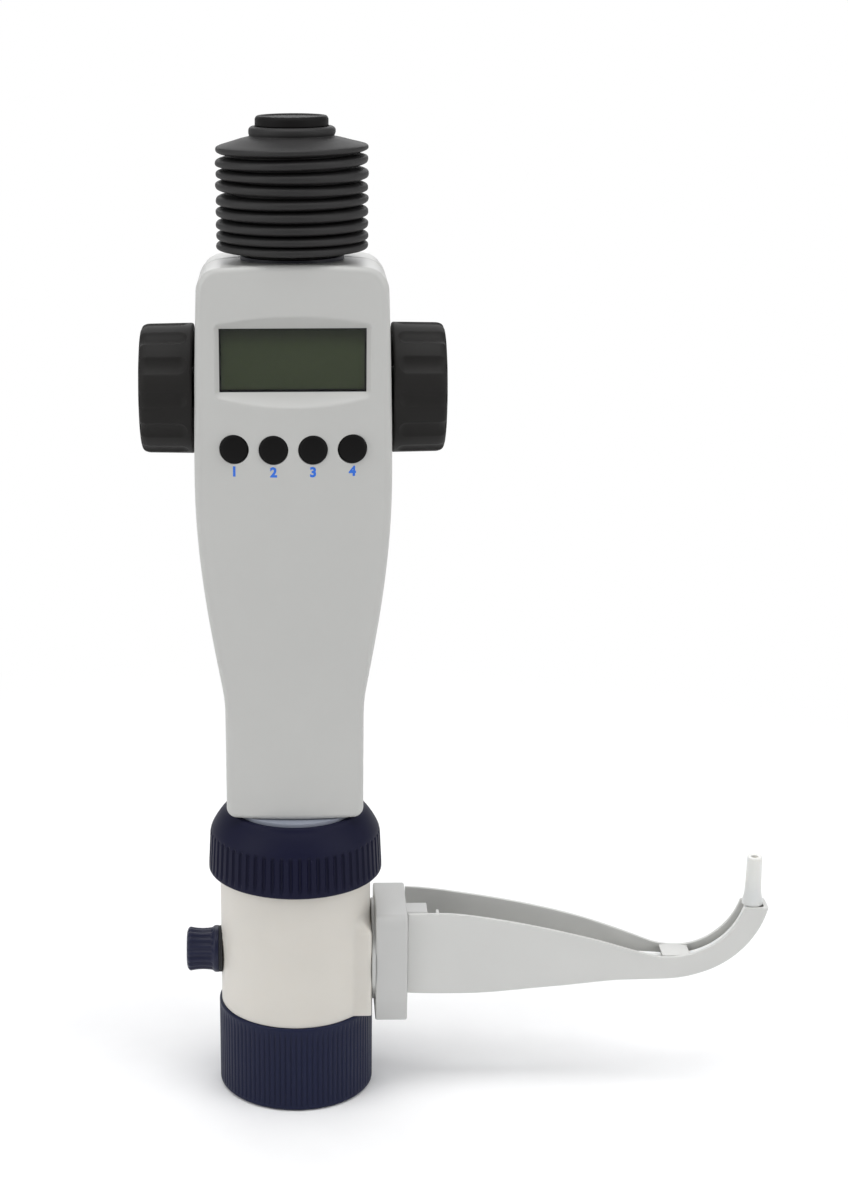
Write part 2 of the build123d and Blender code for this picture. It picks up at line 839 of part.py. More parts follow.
# Cylinder adapter, a flanged ring whose two ears stand up inside the housing's neck
with BuildPart() as cylinder_adapter:
    with BuildSketch(Plane.XY.offset(adapter_low_z)):
        Circle(adapter_flange_r)
    extrude(amount=adapter_flange_t)
    with BuildSketch(Plane.XY.offset(adapter_shelf_z)):
        Circle(adapter_r)
    extrude(amount=housing_bottom_z - adapter_shelf_z)
    with BuildSketch(Plane.XY.offset(housing_bottom_z)):
        RectangleRounded(2 * (neck_half_w - wall - fit_gap), 2 * ear_half_y, ear_corner_r)
    extrude(amount=ear_h)
    with BuildSketch(Plane.XY.offset(adapter_low_z)):
        Circle(glass_r + fit_gap)
    extrude(amount=60, mode=Mode.SUBTRACT)
    with BuildSketch(at_y(neck_half_d)):
        with Locations((-ear_screw_x, ear_screw_z), (ear_screw_x, ear_screw_z)):
            Circle(screw_r)
    extrude(amount=neck_half_d, mode=Mode.SUBTRACT)
save(cylinder_adapter, "cylinder_adapter")


housing_levels = (
    (neck_top_z, neck_half_w, neck_half_d, neck_half_d),
    (163.0, 26.1, 19.7, 20.4),
    (182.0, 29.2, 21.2, 22.8),
    (202.0, 31.2, 22.1, 24.4),
    (shoulder_z, shoulder_half_w, front_d, rear_d),
    (262.0, 32.1, front_d, rear_d),
    (housing_top_z + 2, top_half_w, front_d - 0.3, rear_d - 0.3),
)


def housing_lines(half_w, front, rear):
    """The outline of one level of the housing: straight sides, bulged front and back."""
    front_sag = half_w ** 2 / (2 * front_bulge_r)
    rear_sag = half_w ** 2 / (2 * rear_bulge_r)
    ThreePointArc((-half_w, -front + front_sag), (0, -front), (half_w, -front + front_sag))
    Line((half_w, -front + front_sag), (half_w, rear - rear_sag))
    ThreePointArc((half_w, rear - rear_sag), (0, rear), (-half_w, rear - rear_sag))
    Line((-half_w, rear - rear_sag), (-half_w, -front + front_sag))


def housing_solid(inset, low_z):
    """The housing's outer form, or its hollow when inset is the wall."""
    front_r = max(front_corner_r - inset, 0.8)
    rear_r = max(rear_corner_r - inset, 0.8)
    arch_half_w = top_half_w + 3
    arch_z = housing_top_z - inset
    arch_side_z = arch_z - arch_half_w ** 2 / (2 * top_arch_r)
    side_w = top_half_w + 0.35 - inset
    with BuildPart() as form:
        for level_z, half_w, front, rear in housing_levels:
            with BuildSketch(Plane.XY.offset(level_z)) as level:
                with BuildLine():
                    housing_lines(half_w - inset, front - inset, rear - inset)
                make_face()
                fillet(level.vertices().sort_by(Axis.Y)[:2], front_r)
                fillet(level.vertices().sort_by(Axis.Y)[-2:], rear_r)
        loft()
        with BuildSketch(at_y(60)) as arch:
            with BuildLine():
                ThreePointArc((-side_w, arch_side_z), (0, arch_z), (side_w, arch_side_z))
                Polyline((side_w, arch_side_z), (side_w, 283), (60, 240), (60, neck_top_z - 5))
                Line((60, neck_top_z - 5), (-60, neck_top_z - 5))
                Polyline((-60, neck_top_z - 5), (-60, 240), (-side_w, 283), (-side_w, arch_side_z))
            make_face()
            fillet(arch.vertices().group_by(Axis.Y)[-1], top_corner_r - inset)
        extrude(amount=120, mode=Mode.INTERSECT)
        with BuildSketch(Plane.XY.offset(low_z)) as level:
            with BuildLine():
                housing_lines(neck_half_w - inset, neck_half_d - inset, neck_half_d - inset)
            make_face()
            fillet(level.vertices().sort_by(Axis.Y)[:2], front_r)
            fillet(level.vertices().sort_by(Axis.Y)[-2:], rear_r)
        extrude(amount=neck_top_z - low_z)
    return form.part


def front_y(x):
    """The front face's place at x, across the wide part of the housing."""
    return -front_d + x ** 2 / (2 * front_bulge_r)


# Housing, a hollow form that splits into a front and a rear shell at the handwheel shaft
housing_outer = housing_solid(0, housing_bottom_z)
housing_inner = housing_solid(wall, housing_bottom_z - 1)

with BuildPart() as housing_wall:
    add(housing_outer)
    add(housing_inner, mode=Mode.SUBTRACT)
    with BuildSketch(at_y(60)):
        for side in (-1, 1):
            with Locations((side * (neck_half_w - bottom_corner_r / 2), housing_bottom_z + bottom_corner_r / 2)):
                Rectangle(bottom_corner_r, bottom_corner_r)
            with Locations((side * (neck_half_w - bottom_corner_r), housing_bottom_z + bottom_corner_r)):
                Circle(bottom_corner_r, mode=Mode.SUBTRACT)
    extrude(amount=120, mode=Mode.SUBTRACT)
    with BuildSketch(at_x(-60)):
        with Locations((shaft_y, shaft_z)):
            Circle(bush_r)
    extrude(amount=120, mode=Mode.SUBTRACT)
    with BuildSketch(Plane.XY.offset(housing_top_z - 12)):
        Circle(spigot_r + 0.1)
    extrude(amount=20, mode=Mode.SUBTRACT)
    with BuildSketch(Plane.XY.offset(bellows_ring_z)):
        Circle(bellows_ring_r + 0.1)
    extrude(amount=10, mode=Mode.SUBTRACT)

# What is moulded inside the front shell: display bezel, button sleeves and screw posts
with BuildPart() as front_inners:
    with BuildSketch(at_y(bezel_back_y)):
        with Locations((0, window_z)):
            Rectangle(bezel_w, bezel_h)
    extrude(amount=6)
    with BuildSketch(at_y(button_sleeve_back_y)):
        with Locations((0, button_z)):
            with GridLocations(button_pitch, 1, 4, 1):
                Circle(button_sleeve_r)
    extrude(amount=6)
    for post_x, post_z, post_r in case_screws:
        with BuildSketch(at_y(split_y)):
            with Locations((-post_x, post_z), (post_x, post_z)):
                Circle(post_r)
        extrude(amount=split_y - front_y(post_x) - 0.6)
    with BuildSketch(at_y(board_front_y)):
        with Locations([(side * x, z) for x, z in board_screws for side in (-1, 1)]):
            Circle(board_post_r)
    extrude(amount=7.5)
    add(housing_outer, mode=Mode.INTERSECT)

with BuildPart() as front_shell:
    add(housing_wall.part)
    split(bisect_by=at_y(split_y), keep=Keep.TOP)
    add(front_inners.part)
    with BuildSketch(at_y(recess_y)):
        with Locations((0, window_z)):
            Rectangle(window_w, window_h)
    extrude(amount=8, taper=-recess_taper, mode=Mode.SUBTRACT)
    with BuildSketch(at_y(recess_y + window_lip)):
        with Locations((0, window_z)):
            Rectangle(window_w, window_h)
    extrude(amount=2, mode=Mode.SUBTRACT)
    with BuildSketch(at_y(bezel_back_y)):
        with Locations((0, window_z)):
            Rectangle(window_w + 1.8, window_h + 1.8)
    extrude(amount=bezel_back_y - recess_y - window_lip, mode=Mode.SUBTRACT)
    with BuildSketch(at_y(button_sleeve_back_y)):
        with Locations((0, button_z)):
            with GridLocations(button_pitch, 1, 4, 1):
                Circle(button_hole_r)
    extrude(amount=12, mode=Mode.SUBTRACT)
    for post_x, post_z, post_r in case_screws:
        with BuildSketch(at_y(split_y)):
            with Locations((-post_x, post_z), (post_x, post_z)):
                Circle(screw_r)
        extrude(amount=screw_bite + 1, mode=Mode.SUBTRACT)
    with BuildSketch(at_y(board_front_y)):
        with Locations([(side * x, z) for x, z in board_screws for side in (-1, 1)]):
            Circle(board_screw_r)
    extrude(amount=board_screw_bite + 0.5, mode=Mode.SUBTRACT)
save(front_shell, "front_shell")

# What is moulded inside the rear shell: battery bay, screw posts and frame standoffs
with BuildPart() as rear_inners:
    with BuildSketch(at_y(rear_d)):
        with Locations((0, (bay_low_z + bay_high_z) / 2)):
            Rectangle(2 * (bay_half_w + bay_wall), bay_high_z - bay_low_z + 2 * bay_wall)
    extrude(amount=rear_d - bay_floor_y + bay_wall)
    for post_x, post_z, post_r in case_screws:
        with BuildSketch(at_y(split_y)):
            with Locations((-post_x, post_z), (post_x, post_z)):
                Circle(post_r)
        extrude(amount=-rear_d)
    with BuildSketch(at_y(frame_back_y + frame_back_t)):
        with Locations([(side * frame_screw_x, z) for z in frame_screw_zs for side in (-1, 1)]):
            Circle(frame_post_r)
    extrude(amount=-rear_d)
    with BuildSketch(at_y(ear_half_y + seat_gap)):
        with Locations((-ear_screw_x, ear_screw_z), (ear_screw_x, ear_screw_z)):
            Circle(ear_boss_r)
    extrude(amount=-rear_d)
    add(housing_outer, mode=Mode.INTERSECT)

with BuildPart() as rear_shell:
    add(housing_wall.part)
    split(bisect_by=at_y(split_y), keep=Keep.BOTTOM)
    add(rear_inners.part)
    with BuildSketch(at_y(bay_floor_y)):
        with Locations((0, (bay_low_z + bay_high_z) / 2)):
            Rectangle(2 * bay_half_w, bay_high_z - bay_low_z)
    extrude(amount=-rear_d, mode=Mode.SUBTRACT)
    for (post_x, post_z, post_r), seat_y in zip(case_screws, case_seat_ys):
        with BuildSketch(at_y(split_y)):
            with Locations((-post_x, post_z), (post_x, post_z)):
                Circle(screw_r + 0.2)
        extrude(amount=-2 * rear_d, mode=Mode.SUBTRACT)
        with BuildSketch(at_y(seat_y)):
            with Locations((-post_x, post_z), (post_x, post_z)):
                Circle(screw_head_r + 0.2)
        extrude(amount=-rear_d, mode=Mode.SUBTRACT)
    with BuildSketch(at_y(frame_back_y + frame_back_t)):
        with Locations([(side * frame_screw_x, z) for z in frame_screw_zs for side in (-1, 1)]):
            Circle(board_screw_r)
    extrude(amount=-1.2, mode=Mode.SUBTRACT)
    with BuildSketch(at_y(ear_half_y)):
        with Locations((-ear_screw_x, ear_screw_z), (ear_screw_x, ear_screw_z)):
            Circle(screw_r + 0.2)
    extrude(amount=-10, mode=Mode.SUBTRACT)
    with BuildSketch(at_y(ear_seat_y)):
        with Locations((-ear_screw_x, ear_screw_z), (ear_screw_x, ear_screw_z)):
            Circle(screw_head_r + 0.2)
    extrude(amount=-10, mode=Mode.SUBTRACT)
save(rear_shell, "rear_shell")

# Battery door, cut from the same rear surface
with BuildPart() as battery_door:
    add(housing_wall.part)
    with BuildSketch(at_y(rear_d + 5)):
        with Locations((0, (bay_low_z + bay_high_z) / 2)):
            Rectangle(2 * (bay_half_w - door_gap), bay_high_z - bay_low_z - 2 * door_gap)
    extrude(amount=rear_d, mode=Mode.INTERSECT)
save(battery_door, door_name)

# Battery cells and the contact plates at their ends
for cell_name, cell_z in zip(("battery_cell_lower", "battery_cell_upper"), cell_zs):
    with BuildPart() as battery_cell:
        with BuildSketch(at_x(-cell_l / 2)):
            with Locations((cell_y, cell_z)):
                Circle(cell_r)
        extrude(amount=cell_l - cell_nub_l)
        with BuildSketch(at_x(cell_l / 2 - cell_nub_l)):
            with Locations((cell_y, cell_z)):
                Circle(cell_nub_r)
        extrude(amount=cell_nub_l)
    save(battery_cell, cell_name)

for contact_name, side in (("battery_contact_left", -1), ("battery_contact_right", 1)):
    with BuildPart() as battery_contact:
        with BuildSketch(Plane.XY.offset(bay_low_z + 1)):
            with Locations((side * (cell_l / 2 + bay_half_w) / 2, cell_y - 0.5)):
                Rectangle(contact_t, 2 * cell_r - 2)
        extrude(amount=bay_high_z - bay_low_z - 2)
    save(battery_contact, contact_name)

# Display window and the display module behind it
with BuildPart() as display_window:
    with BuildSketch(at_y(recess_y + window_lip + window_t)):
        with Locations((0, window_z)):
            Rectangle(window_w + 1.6, window_h + 1.6)
    extrude(amount=window_t)
save(display_window, "display_window")

with BuildPart() as display_module:
    with BuildSketch(at_y(board_front_y)):
        with Locations((0, window_z)):
            Rectangle(window_w + 1.2, window_h + 1.2)
    extrude(amount=board_front_y - recess_y - window_lip - window_t - fit_gap)
save(display_module, "display_module")

# Circuit board with four screw holes
with BuildPart() as circuit_board:
    with BuildSketch(at_y(board_front_y + board_t)):
        with Locations((0, (board_low_z + board_top_z) / 2)):
            Rectangle(board_w, board_top_z - board_low_z)
        with Locations([(side * x, z) for x, z in board_screws for side in (-1, 1)]):
            Circle(board_screw_r + 0.1, mode=Mode.SUBTRACT)
    extrude(amount=board_t)
save(circuit_board, "circuit_board")

# Rubber button mat with one dome under each button
with BuildPart() as button_mat:
    with BuildSketch(at_y(board_front_y)):
        with Locations((0, button_z)):
            Rectangle(mat_w, mat_h)
    extrude(amount=mat_t)
    with BuildSketch(at_y(board_front_y - mat_t)):
        with Locations((0, button_z)):
            with GridLocations(button_pitch, 1, 4, 1):
                Circle(dome_r)
    extrude(amount=dome_h)
save(button_mat, "button_mat")

# Four push buttons, each a round cap with a flange behind its sleeve
for button_name, column in zip(button_names, (-1.5, -0.5, 0.5, 1.5)):
    button_x = column * button_pitch
    cap_front_y = front_y(button_x) - button_proud
    flange_y = button_sleeve_back_y + seat_gap
    with BuildPart() as button:
        with BuildSketch(at_y(flange_y)):
            with Locations((button_x, button_z)):
                Circle(button_r)
        extrude(amount=flange_y - cap_front_y)
        fillet(button.edges().group_by(Axis.Y)[0], button_edge_r)
        with BuildSketch(at_y(flange_y + button_flange_t)):
            with Locations((button_x, button_z)):
                Circle(button_flange_r)
        extrude(amount=button_flange_t)
        with BuildSketch(at_y(button_back_y)):
            with Locations((button_x, button_z)):
                Circle(dome_r - 0.4)
        extrude(amount=button_back_y - flange_y - button_flange_t)
    save(button, button_name)


def involute(angle):
    return math.tan(angle) - angle


def gear_points(module, teeth, phase):
    """Points round a spur gear with involute flanks and one tooth centred at phase degrees."""
    pitch_r = module * teeth / 2
    base_r = pitch_r * math.cos(math.radians(pressure_angle))
    tip_r = pitch_r + addendum * module
    root_r = pitch_r - dedendum * module
    pitch_half = math.pi / (2 * teeth) - backlash / (4 * pitch_r)
    base_half = pitch_half + involute(math.radians(pressure_angle))
    flank = [(root_r, base_half)] if root_r < base_r else []
    low_r = max(base_r, root_r)
    for step in range(4):
        radius = low_r + (tip_r - low_r) * step / 3
        flank.append((radius, base_half - involute(math.acos(base_r / radius))))
    points = []
    for tooth in range(teeth):
        centre = math.radians(phase) + 2 * math.pi * tooth / teeth
        for radius, half in flank:
            points.append((radius * math.cos(centre - half), radius * math.sin(centre - half)))
        for radius, half in reversed(flank):
            points.append((radius * math.cos(centre + half), radius * math.sin(centre + half)))
    return points


# Rack pinion and reduction gear on the axle, drive pinion on the handwheel shaft
with BuildPart() as rack_pinion:
    with BuildSketch(at_x(-rack_pinion_half_w, axle_y, axle_z)):
        with BuildLine():
            Polyline(*gear_points(rack_module, rack_pinion_teeth, 180), close=True)
        make_face()
        Circle(shaft_r, mode=Mode.SUBTRACT)
    extrude(amount=2 * rack_pinion_half_w)
save(rack_pinion, "rack_pinion")

with BuildPart() as reduction_gear:
    with BuildSketch(at_x(gear_x, axle_y, axle_z)):
        with BuildLine():
            Polyline(*gear_points(drive_module, drive_gear_teeth, mesh_angle), close=True)
        make_face()
        Circle(shaft_r, mode=Mode.SUBTRACT)
    extrude(amount=gear_t)
    with BuildSketch(at_x(rack_pinion_half_w, axle_y, axle_z)):
        Circle(gear_hub_r)
        Circle(shaft_r, mode=Mode.SUBTRACT)
    extrude(amount=gear_x - rack_pinion_half_w)
save(reduction_gear, "reduction_gear")

with BuildPart() as drive_pinion:
    pinion_phase = mesh_angle + 180 + 180 / drive_pinion_teeth
    with BuildSketch(at_x(gear_x + gear_t / 2 - drive_pinion_t / 2, shaft_y, shaft_z)):
        with BuildLine():
            Polyline(*gear_points(drive_module, drive_pinion_teeth, pinion_phase), close=True)
        make_face()
        Circle(shaft_r, mode=Mode.SUBTRACT)
    extrude(amount=drive_pinion_t)
save(drive_pinion, "drive_pinion")

with BuildPart() as gear_axle:
    with BuildSketch(at_x(-frame_in_x - frame_plate_t)):
        with Locations((axle_y, axle_z)):
            Circle(shaft_r)
    extrude(amount=2 * (frame_in_x + frame_plate_t))
save(gear_axle, "gear_axle")

with BuildPart() as handwheel_shaft:
    with BuildSketch(at_x(-wheel_out_x + 4)):
        with Locations((shaft_y, shaft_z)):
            Circle(shaft_r)
    extrude(amount=2 * (wheel_out_x - 4))
save(handwheel_shaft, "handwheel_shaft")

# Slotted encoder disc on the shaft and the light barrier that reads it
with BuildPart() as encoder_disc:
    with BuildSketch(at_x(encoder_x - encoder_t / 2)):
        with Locations((shaft_y, shaft_z)):
            Circle(encoder_r)
            Circle(shaft_r, mode=Mode.SUBTRACT)
            with PolarLocations(encoder_r - 1.6, encoder_slots):
                Rectangle(2.0, 1.2, mode=Mode.SUBTRACT)
    extrude(amount=encoder_t)
    with BuildSketch(at_x(encoder_x + encoder_t / 2)):
        with Locations((shaft_y, shaft_z)):
            Circle(gear_hub_r)
            Circle(shaft_r, mode=Mode.SUBTRACT)
    extrude(amount=2)
save(encoder_disc, "encoder_disc")

with BuildPart() as encoder_sensor:
    with BuildSketch(Plane.XY.offset(shaft_z - 4)):
        with Locations((encoder_x, (board_back_y + sensor_tip_y) / 2)):
            Rectangle(sensor_w, sensor_tip_y - board_back_y)
        with Locations((encoder_x, sensor_tip_y)):
            Rectangle(2.4, 9, mode=Mode.SUBTRACT)
    extrude(amount=8)
save(encoder_sensor, "encoder_sensor")

# Gear frame, a bent plate that carries the shaft and the axle
with BuildPart() as gear_frame:
    with BuildSketch(Plane.XY.offset(frame_low_z)):
        with Locations((0, (frame_front_y + frame_back_y + frame_back_t) / 2)):
            Rectangle(2 * (frame_in_x + frame_plate_t), frame_back_y + frame_back_t - frame_front_y)
        with Locations((0, (frame_front_y + frame_back_y) / 2)):
            Rectangle(2 * frame_in_x, frame_back_y - frame_front_y, mode=Mode.SUBTRACT)
    extrude(amount=frame_high_z - frame_low_z)
    with BuildSketch(at_x(-30)):
        with Locations((axle_y, axle_z), (shaft_y, shaft_z)):
            Circle(shaft_r + run_gap)
    extrude(amount=60, mode=Mode.SUBTRACT)
    with BuildSketch(at_y(40)):
        with Locations([(side * frame_screw_x, z) for z in frame_screw_zs for side in (-1, 1)]):
            Circle(board_screw_r + 0.1)
    extrude(amount=25, mode=Mode.SUBTRACT)
save(gear_frame, "gear_frame")

# Shaft bushes in the housing's sides
for bush_name, side in (("shaft_bush_left", -1), ("shaft_bush_right", 1)):
    with BuildPart() as shaft_bush:
        with BuildSketch(at_x(side * bush_in_x)):
            with Locations((shaft_y, shaft_z)):
                Circle(bush_flange_r)
                Circle(shaft_r + run_gap, mode=Mode.SUBTRACT)
        extrude(amount=side * bush_flange_t)
        with BuildSketch(at_x(side * (bush_in_x + bush_flange_t))):
            with Locations((shaft_y, shaft_z)):
                Circle(bush_r)
                Circle(shaft_r + run_gap, mode=Mode.SUBTRACT)
        extrude(amount=side * (wheel_in_x - fit_gap - bush_in_x - bush_flange_t))
    save(shaft_bush, bush_name)

# Handwheels, cupped knobs with twelve long grip flutes
wheel_axis = Axis((0, shaft_y, shaft_z), (1, 0, 0))
for wheel_name, side in (("handwheel_left", -1), ("handwheel_right", 1)):
    with BuildPart() as handwheel:
        with BuildSketch(Plane.XZ.offset(-shaft_y)) as wheel_half:
            with BuildLine():
                Polyline(
                    (side * wheel_in_x, shaft_z + shaft_r),
                    (side * wheel_in_x, shaft_z + wheel_hub_r),
                    (side * (wheel_out_x - wheel_wall), shaft_z + wheel_hub_r),
                    (side * (wheel_out_x - wheel_wall), shaft_z + wheel_r - wheel_wall),
                    (side * wheel_in_x, shaft_z + wheel_r - wheel_wall),
                    (side * wheel_in_x, shaft_z + wheel_r),
                    (side * wheel_out_x, shaft_z + wheel_r),
                    (side * wheel_out_x, shaft_z),
                    (side * (wheel_out_x - 4), shaft_z),
                    (side * (wheel_out_x - 4), shaft_z + shaft_r),
                    close=True,
                )
            make_face()
            rim_corners = wheel_half.vertices().group_by(Axis.Y)[-1]
            fillet(rim_corners.sort_by(Axis.X)[0 if side < 0 else -1], wheel_edge_r)
        revolve(axis=wheel_axis)
        with BuildSketch(at_x(side * flute_in_x)):
            with Locations((shaft_y, shaft_z)):
                with PolarLocations(wheel_r + flute_r - flute_depth, wheel_flutes):
                    Circle(flute_r)
        extrude(amount=side * 20, mode=Mode.SUBTRACT)
    save(handwheel, wheel_name)

# Piston rod with its rack, cut for the rack pinion over the whole stroke
rack_step = math.pi * rack_module
rack_tip_y = rack_pitch_y + addendum * rack_module
rack_root_y = rack_pitch_y - dedendum * rack_module
rack_slope = math.tan(math.radians(pressure_angle))
gap_half = rack_step / 4 + backlash / 4
tip_gap_half = gap_half + addendum * rack_module * rack_slope
root_gap_half = gap_half - dedendum * rack_module * rack_slope
first_gap = -math.ceil((stroke + 9) / rack_step)

with BuildPart() as piston_rod:
    with BuildSketch(at_x(-rod_half_w)):
        with BuildLine():
            teeth_points = []
            for gap in range(first_gap, 4):
                gap_z = axle_z + gap * rack_step
                teeth_points.append((rack_tip_y, gap_z - tip_gap_half))
                teeth_points.append((rack_root_y, gap_z - root_gap_half))
                teeth_points.append((rack_root_y, gap_z + root_gap_half))
                teeth_points.append((rack_tip_y, gap_z + tip_gap_half))
            Polyline(
                (rod_front_y, rod_low_z),
                (rack_tip_y, rod_low_z),
                *teeth_points,
                (rack_tip_y, rod_top_z),
                (rod_front_y, rod_top_z),
                close=True,
            )
        make_face()
    extrude(amount=2 * rod_half_w)
save(piston_rod, "piston_rod")

# Piston head with its sealing ring
with BuildPart() as piston_head:
    with BuildSketch(Plane.XY.offset(piston_low_z)):
        Circle(bore_r - piston_clearance)
    extrude(amount=piston_l)
    with BuildSketch(Plane.XY.offset(piston_low_z + piston_ring_low)):
        Circle(bore_r)
        Circle(piston_groove_r, mode=Mode.SUBTRACT)
    extrude(amount=piston_ring_t, mode=Mode.SUBTRACT)
    with BuildSketch(Plane.XY.offset(rod_low_z)):
        with Locations((0, (rod_front_y + rack_tip_y) / 2)):
            Rectangle(2 * rod_half_w, rack_tip_y - rod_front_y)
    extrude(amount=piston_l, mode=Mode.SUBTRACT)
save(piston_head, "piston_head")

with BuildPart() as piston_seal:
    with BuildSketch(Plane.XY.offset(piston_low_z + piston_ring_low)):
        Circle(bore_r - run_gap)
        Circle(piston_groove_r, mode=Mode.SUBTRACT)
    extrude(amount=piston_ring_t)
save(piston_seal, "piston_seal")


# Rod guide, the cap on the glass cylinder's upper end
with BuildPart() as rod_guide:
    with BuildSketch(Plane.XY.offset(glass_top_z - guide_skirt_h)):
        Circle(glass_r + guide_wall)
    extrude(amount=guide_skirt_h + guide_top_t)
    with BuildSketch(Plane.XY.offset(glass_top_z - guide_skirt_h)):
        Circle(glass_r + seat_gap)
    extrude(amount=guide_skirt_h, mode=Mode.SUBTRACT)
    with BuildSketch(Plane.XY.offset(glass_top_z)):
        with Locations((0, (rod_front_y + rack_tip_y) / 2)):
            Rectangle(2 * (rod_half_w + rod_slot_gap), rack_tip_y - rod_front_y + 2 * rod_slot_gap)
    extrude(amount=guide_top_t, mode=Mode.SUBTRACT)
save(rod_guide, "rod_guide")

# Bellows ring in the housing's top, which also guides the rod
with BuildPart() as bellows_ring:
    with BuildSketch(Plane.XY.offset(bellows_ring_z - spigot_h)):
        Circle(spigot_r)
    extrude(amount=spigot_h)
    with BuildSketch(Plane.XY.offset(bellows_ring_z)):
        Circle(bellows_ring_r)
    extrude(amount=bellows_ring_t)
    with BuildSketch(Plane.XY.offset(bellows_ring_z - spigot_h)):
        with Locations((0, (rod_front_y + rack_tip_y) / 2)):
            Rectangle(2 * (rod_half_w + rod_slot_gap), rack_tip_y - rod_front_y + 2 * rod_slot_gap)
    extrude(amount=spigot_h + bellows_ring_t, mode=Mode.SUBTRACT)
save(bellows_ring, "bellows_ring")

# Bellows, folded rubber over the rod
bellows_low_z = bellows_ring_z + bellows_ring_t
with BuildPart() as bellows:
    with BuildSketch(Plane.XZ):
        with BuildLine():
            fold_points = []
            for fold in range(bellows_folds):
                fold_z = fold_low_z + fold * fold_pitch
                fold_points.append((bellows_valley_r, fold_z - fold_half_h))
                fold_points.append((bellows_r, fold_z - 0.7 * fold_half_h))
                fold_points.append((bellows_r, fold_z + 0.7 * fold_half_h))
                fold_points.append((bellows_valley_r, fold_z + fold_half_h))
            Polyline(
                (bellows_neck_r - 1.5, bellows_low_z),
                (bellows_neck_r, bellows_low_z),
                (bellows_neck_r, fold_low_z - fold_half_h),
                *fold_points,
                (bellows_valley_r, cone_edge_z - 1.4),
                (bellows_r - 0.6, cone_edge_z - 1.0),
                (bellows_r - 0.6, cone_edge_z + 0.5),
                (bellows_r - 1.6, cone_edge_z + 1.4),
                (18.6, cone_edge_z + 2.6),
                (bead_r + 0.4, bead_z - 0.2),
                (bead_r, bead_z + 0.4),
                (bead_r, cap_z - 0.4),
                (bead_r - 0.5, cap_z - 0.1),
                (cap_r - 0.4, cap_z - 0.1),
                (cap_r - 0.4, bead_z - 1),
                (bellows_bore_r, cone_edge_z),
                (bellows_bore_r, bellows_low_z + 2.6),
                (bellows_neck_r - 1.5, bellows_low_z + 1.6),
                close=True,
            )
        make_face()
    revolve(axis=Axis.Z)
save(bellows, "bellows")

# Rod cap, which plugs the bellows' mouth and grips the rod's end
with BuildPart() as rod_cap:
    with BuildSketch(Plane.XY.offset(bead_z)):
        Circle(cap_r - 0.6)
    extrude(amount=cap_z - bead_z)
    with BuildSketch(Plane.XY.offset(cap_z)) as cap_disc:
        Circle(cap_r)
    extrude(amount=cap_top_z - cap_z)
    chamfer(rod_cap.edges().group_by(Axis.Z)[-1], 0.8)
    with BuildSketch(Plane.XY.offset(bead_z)):
        with Locations((0, (rod_front_y + rack_tip_y) / 2)):
            Rectangle(2 * rod_half_w, rack_tip_y - rod_front_y)
    extrude(amount=rod_top_z - bead_z, mode=Mode.SUBTRACT)
save(rod_cap, "rod_cap")

# Screws, one group for each set
with BuildPart() as case_screw_set:
    for (post_x, post_z, post_r), seat_y in zip(case_screws, case_seat_ys):
        with BuildSketch(at_y(seat_y)):
            with Locations((-post_x, post_z), (post_x, post_z)):
                Circle(screw_r)
        extrude(amount=seat_y - split_y + screw_bite)
        with BuildSketch(at_y(seat_y + screw_head_t)):
            with Locations((-post_x, post_z), (post_x, post_z)):
                Circle(screw_head_r)
        extrude(amount=screw_head_t)
save(case_screw_set, "case_screws")

with BuildPart() as adapter_screw_set:
    with BuildSketch(at_y(ear_seat_y)):
        with Locations((-ear_screw_x, ear_screw_z), (ear_screw_x, ear_screw_z)):
            Circle(screw_r)
    extrude(amount=ear_screw_l)
    with BuildSketch(at_y(ear_seat_y + screw_head_t)):
        with Locations((-ear_screw_x, ear_screw_z), (ear_screw_x, ear_screw_z)):
            Circle(screw_head_r)
    extrude(amount=screw_head_t)
save(adapter_screw_set, "adapter_screws")

with BuildPart() as board_screw_set:
    board_spots = [(side * x, z) for x, z in board_screws for side in (-1, 1)]
    with BuildSketch(at_y(board_back_y)):
        with Locations(board_spots):
            Circle(board_screw_r)
    extrude(amount=board_t + board_screw_bite)
    with BuildSketch(at_y(board_back_y + 1.2)):
        with Locations(board_spots):
            Circle(2 * board_screw_r)
    extrude(amount=1.2)
save(board_screw_set, "board_screws")

with BuildPart() as frame_screw_set:
    frame_spots = [(side * frame_screw_x, z) for z in frame_screw_zs for side in (-1, 1)]
    with BuildSketch(at_y(frame_back_y + frame_back_t + 1.0)):
        with Locations(frame_spots):
            Circle(board_screw_r)
    extrude(amount=frame_back_t + 1.0)
    with BuildSketch(at_y(frame_back_y)):
        with Locations(frame_spots):
            Circle(2 * board_screw_r)
    extrude(amount=1.2)
save(frame_screw_set, "frame_screws")
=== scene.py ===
import math

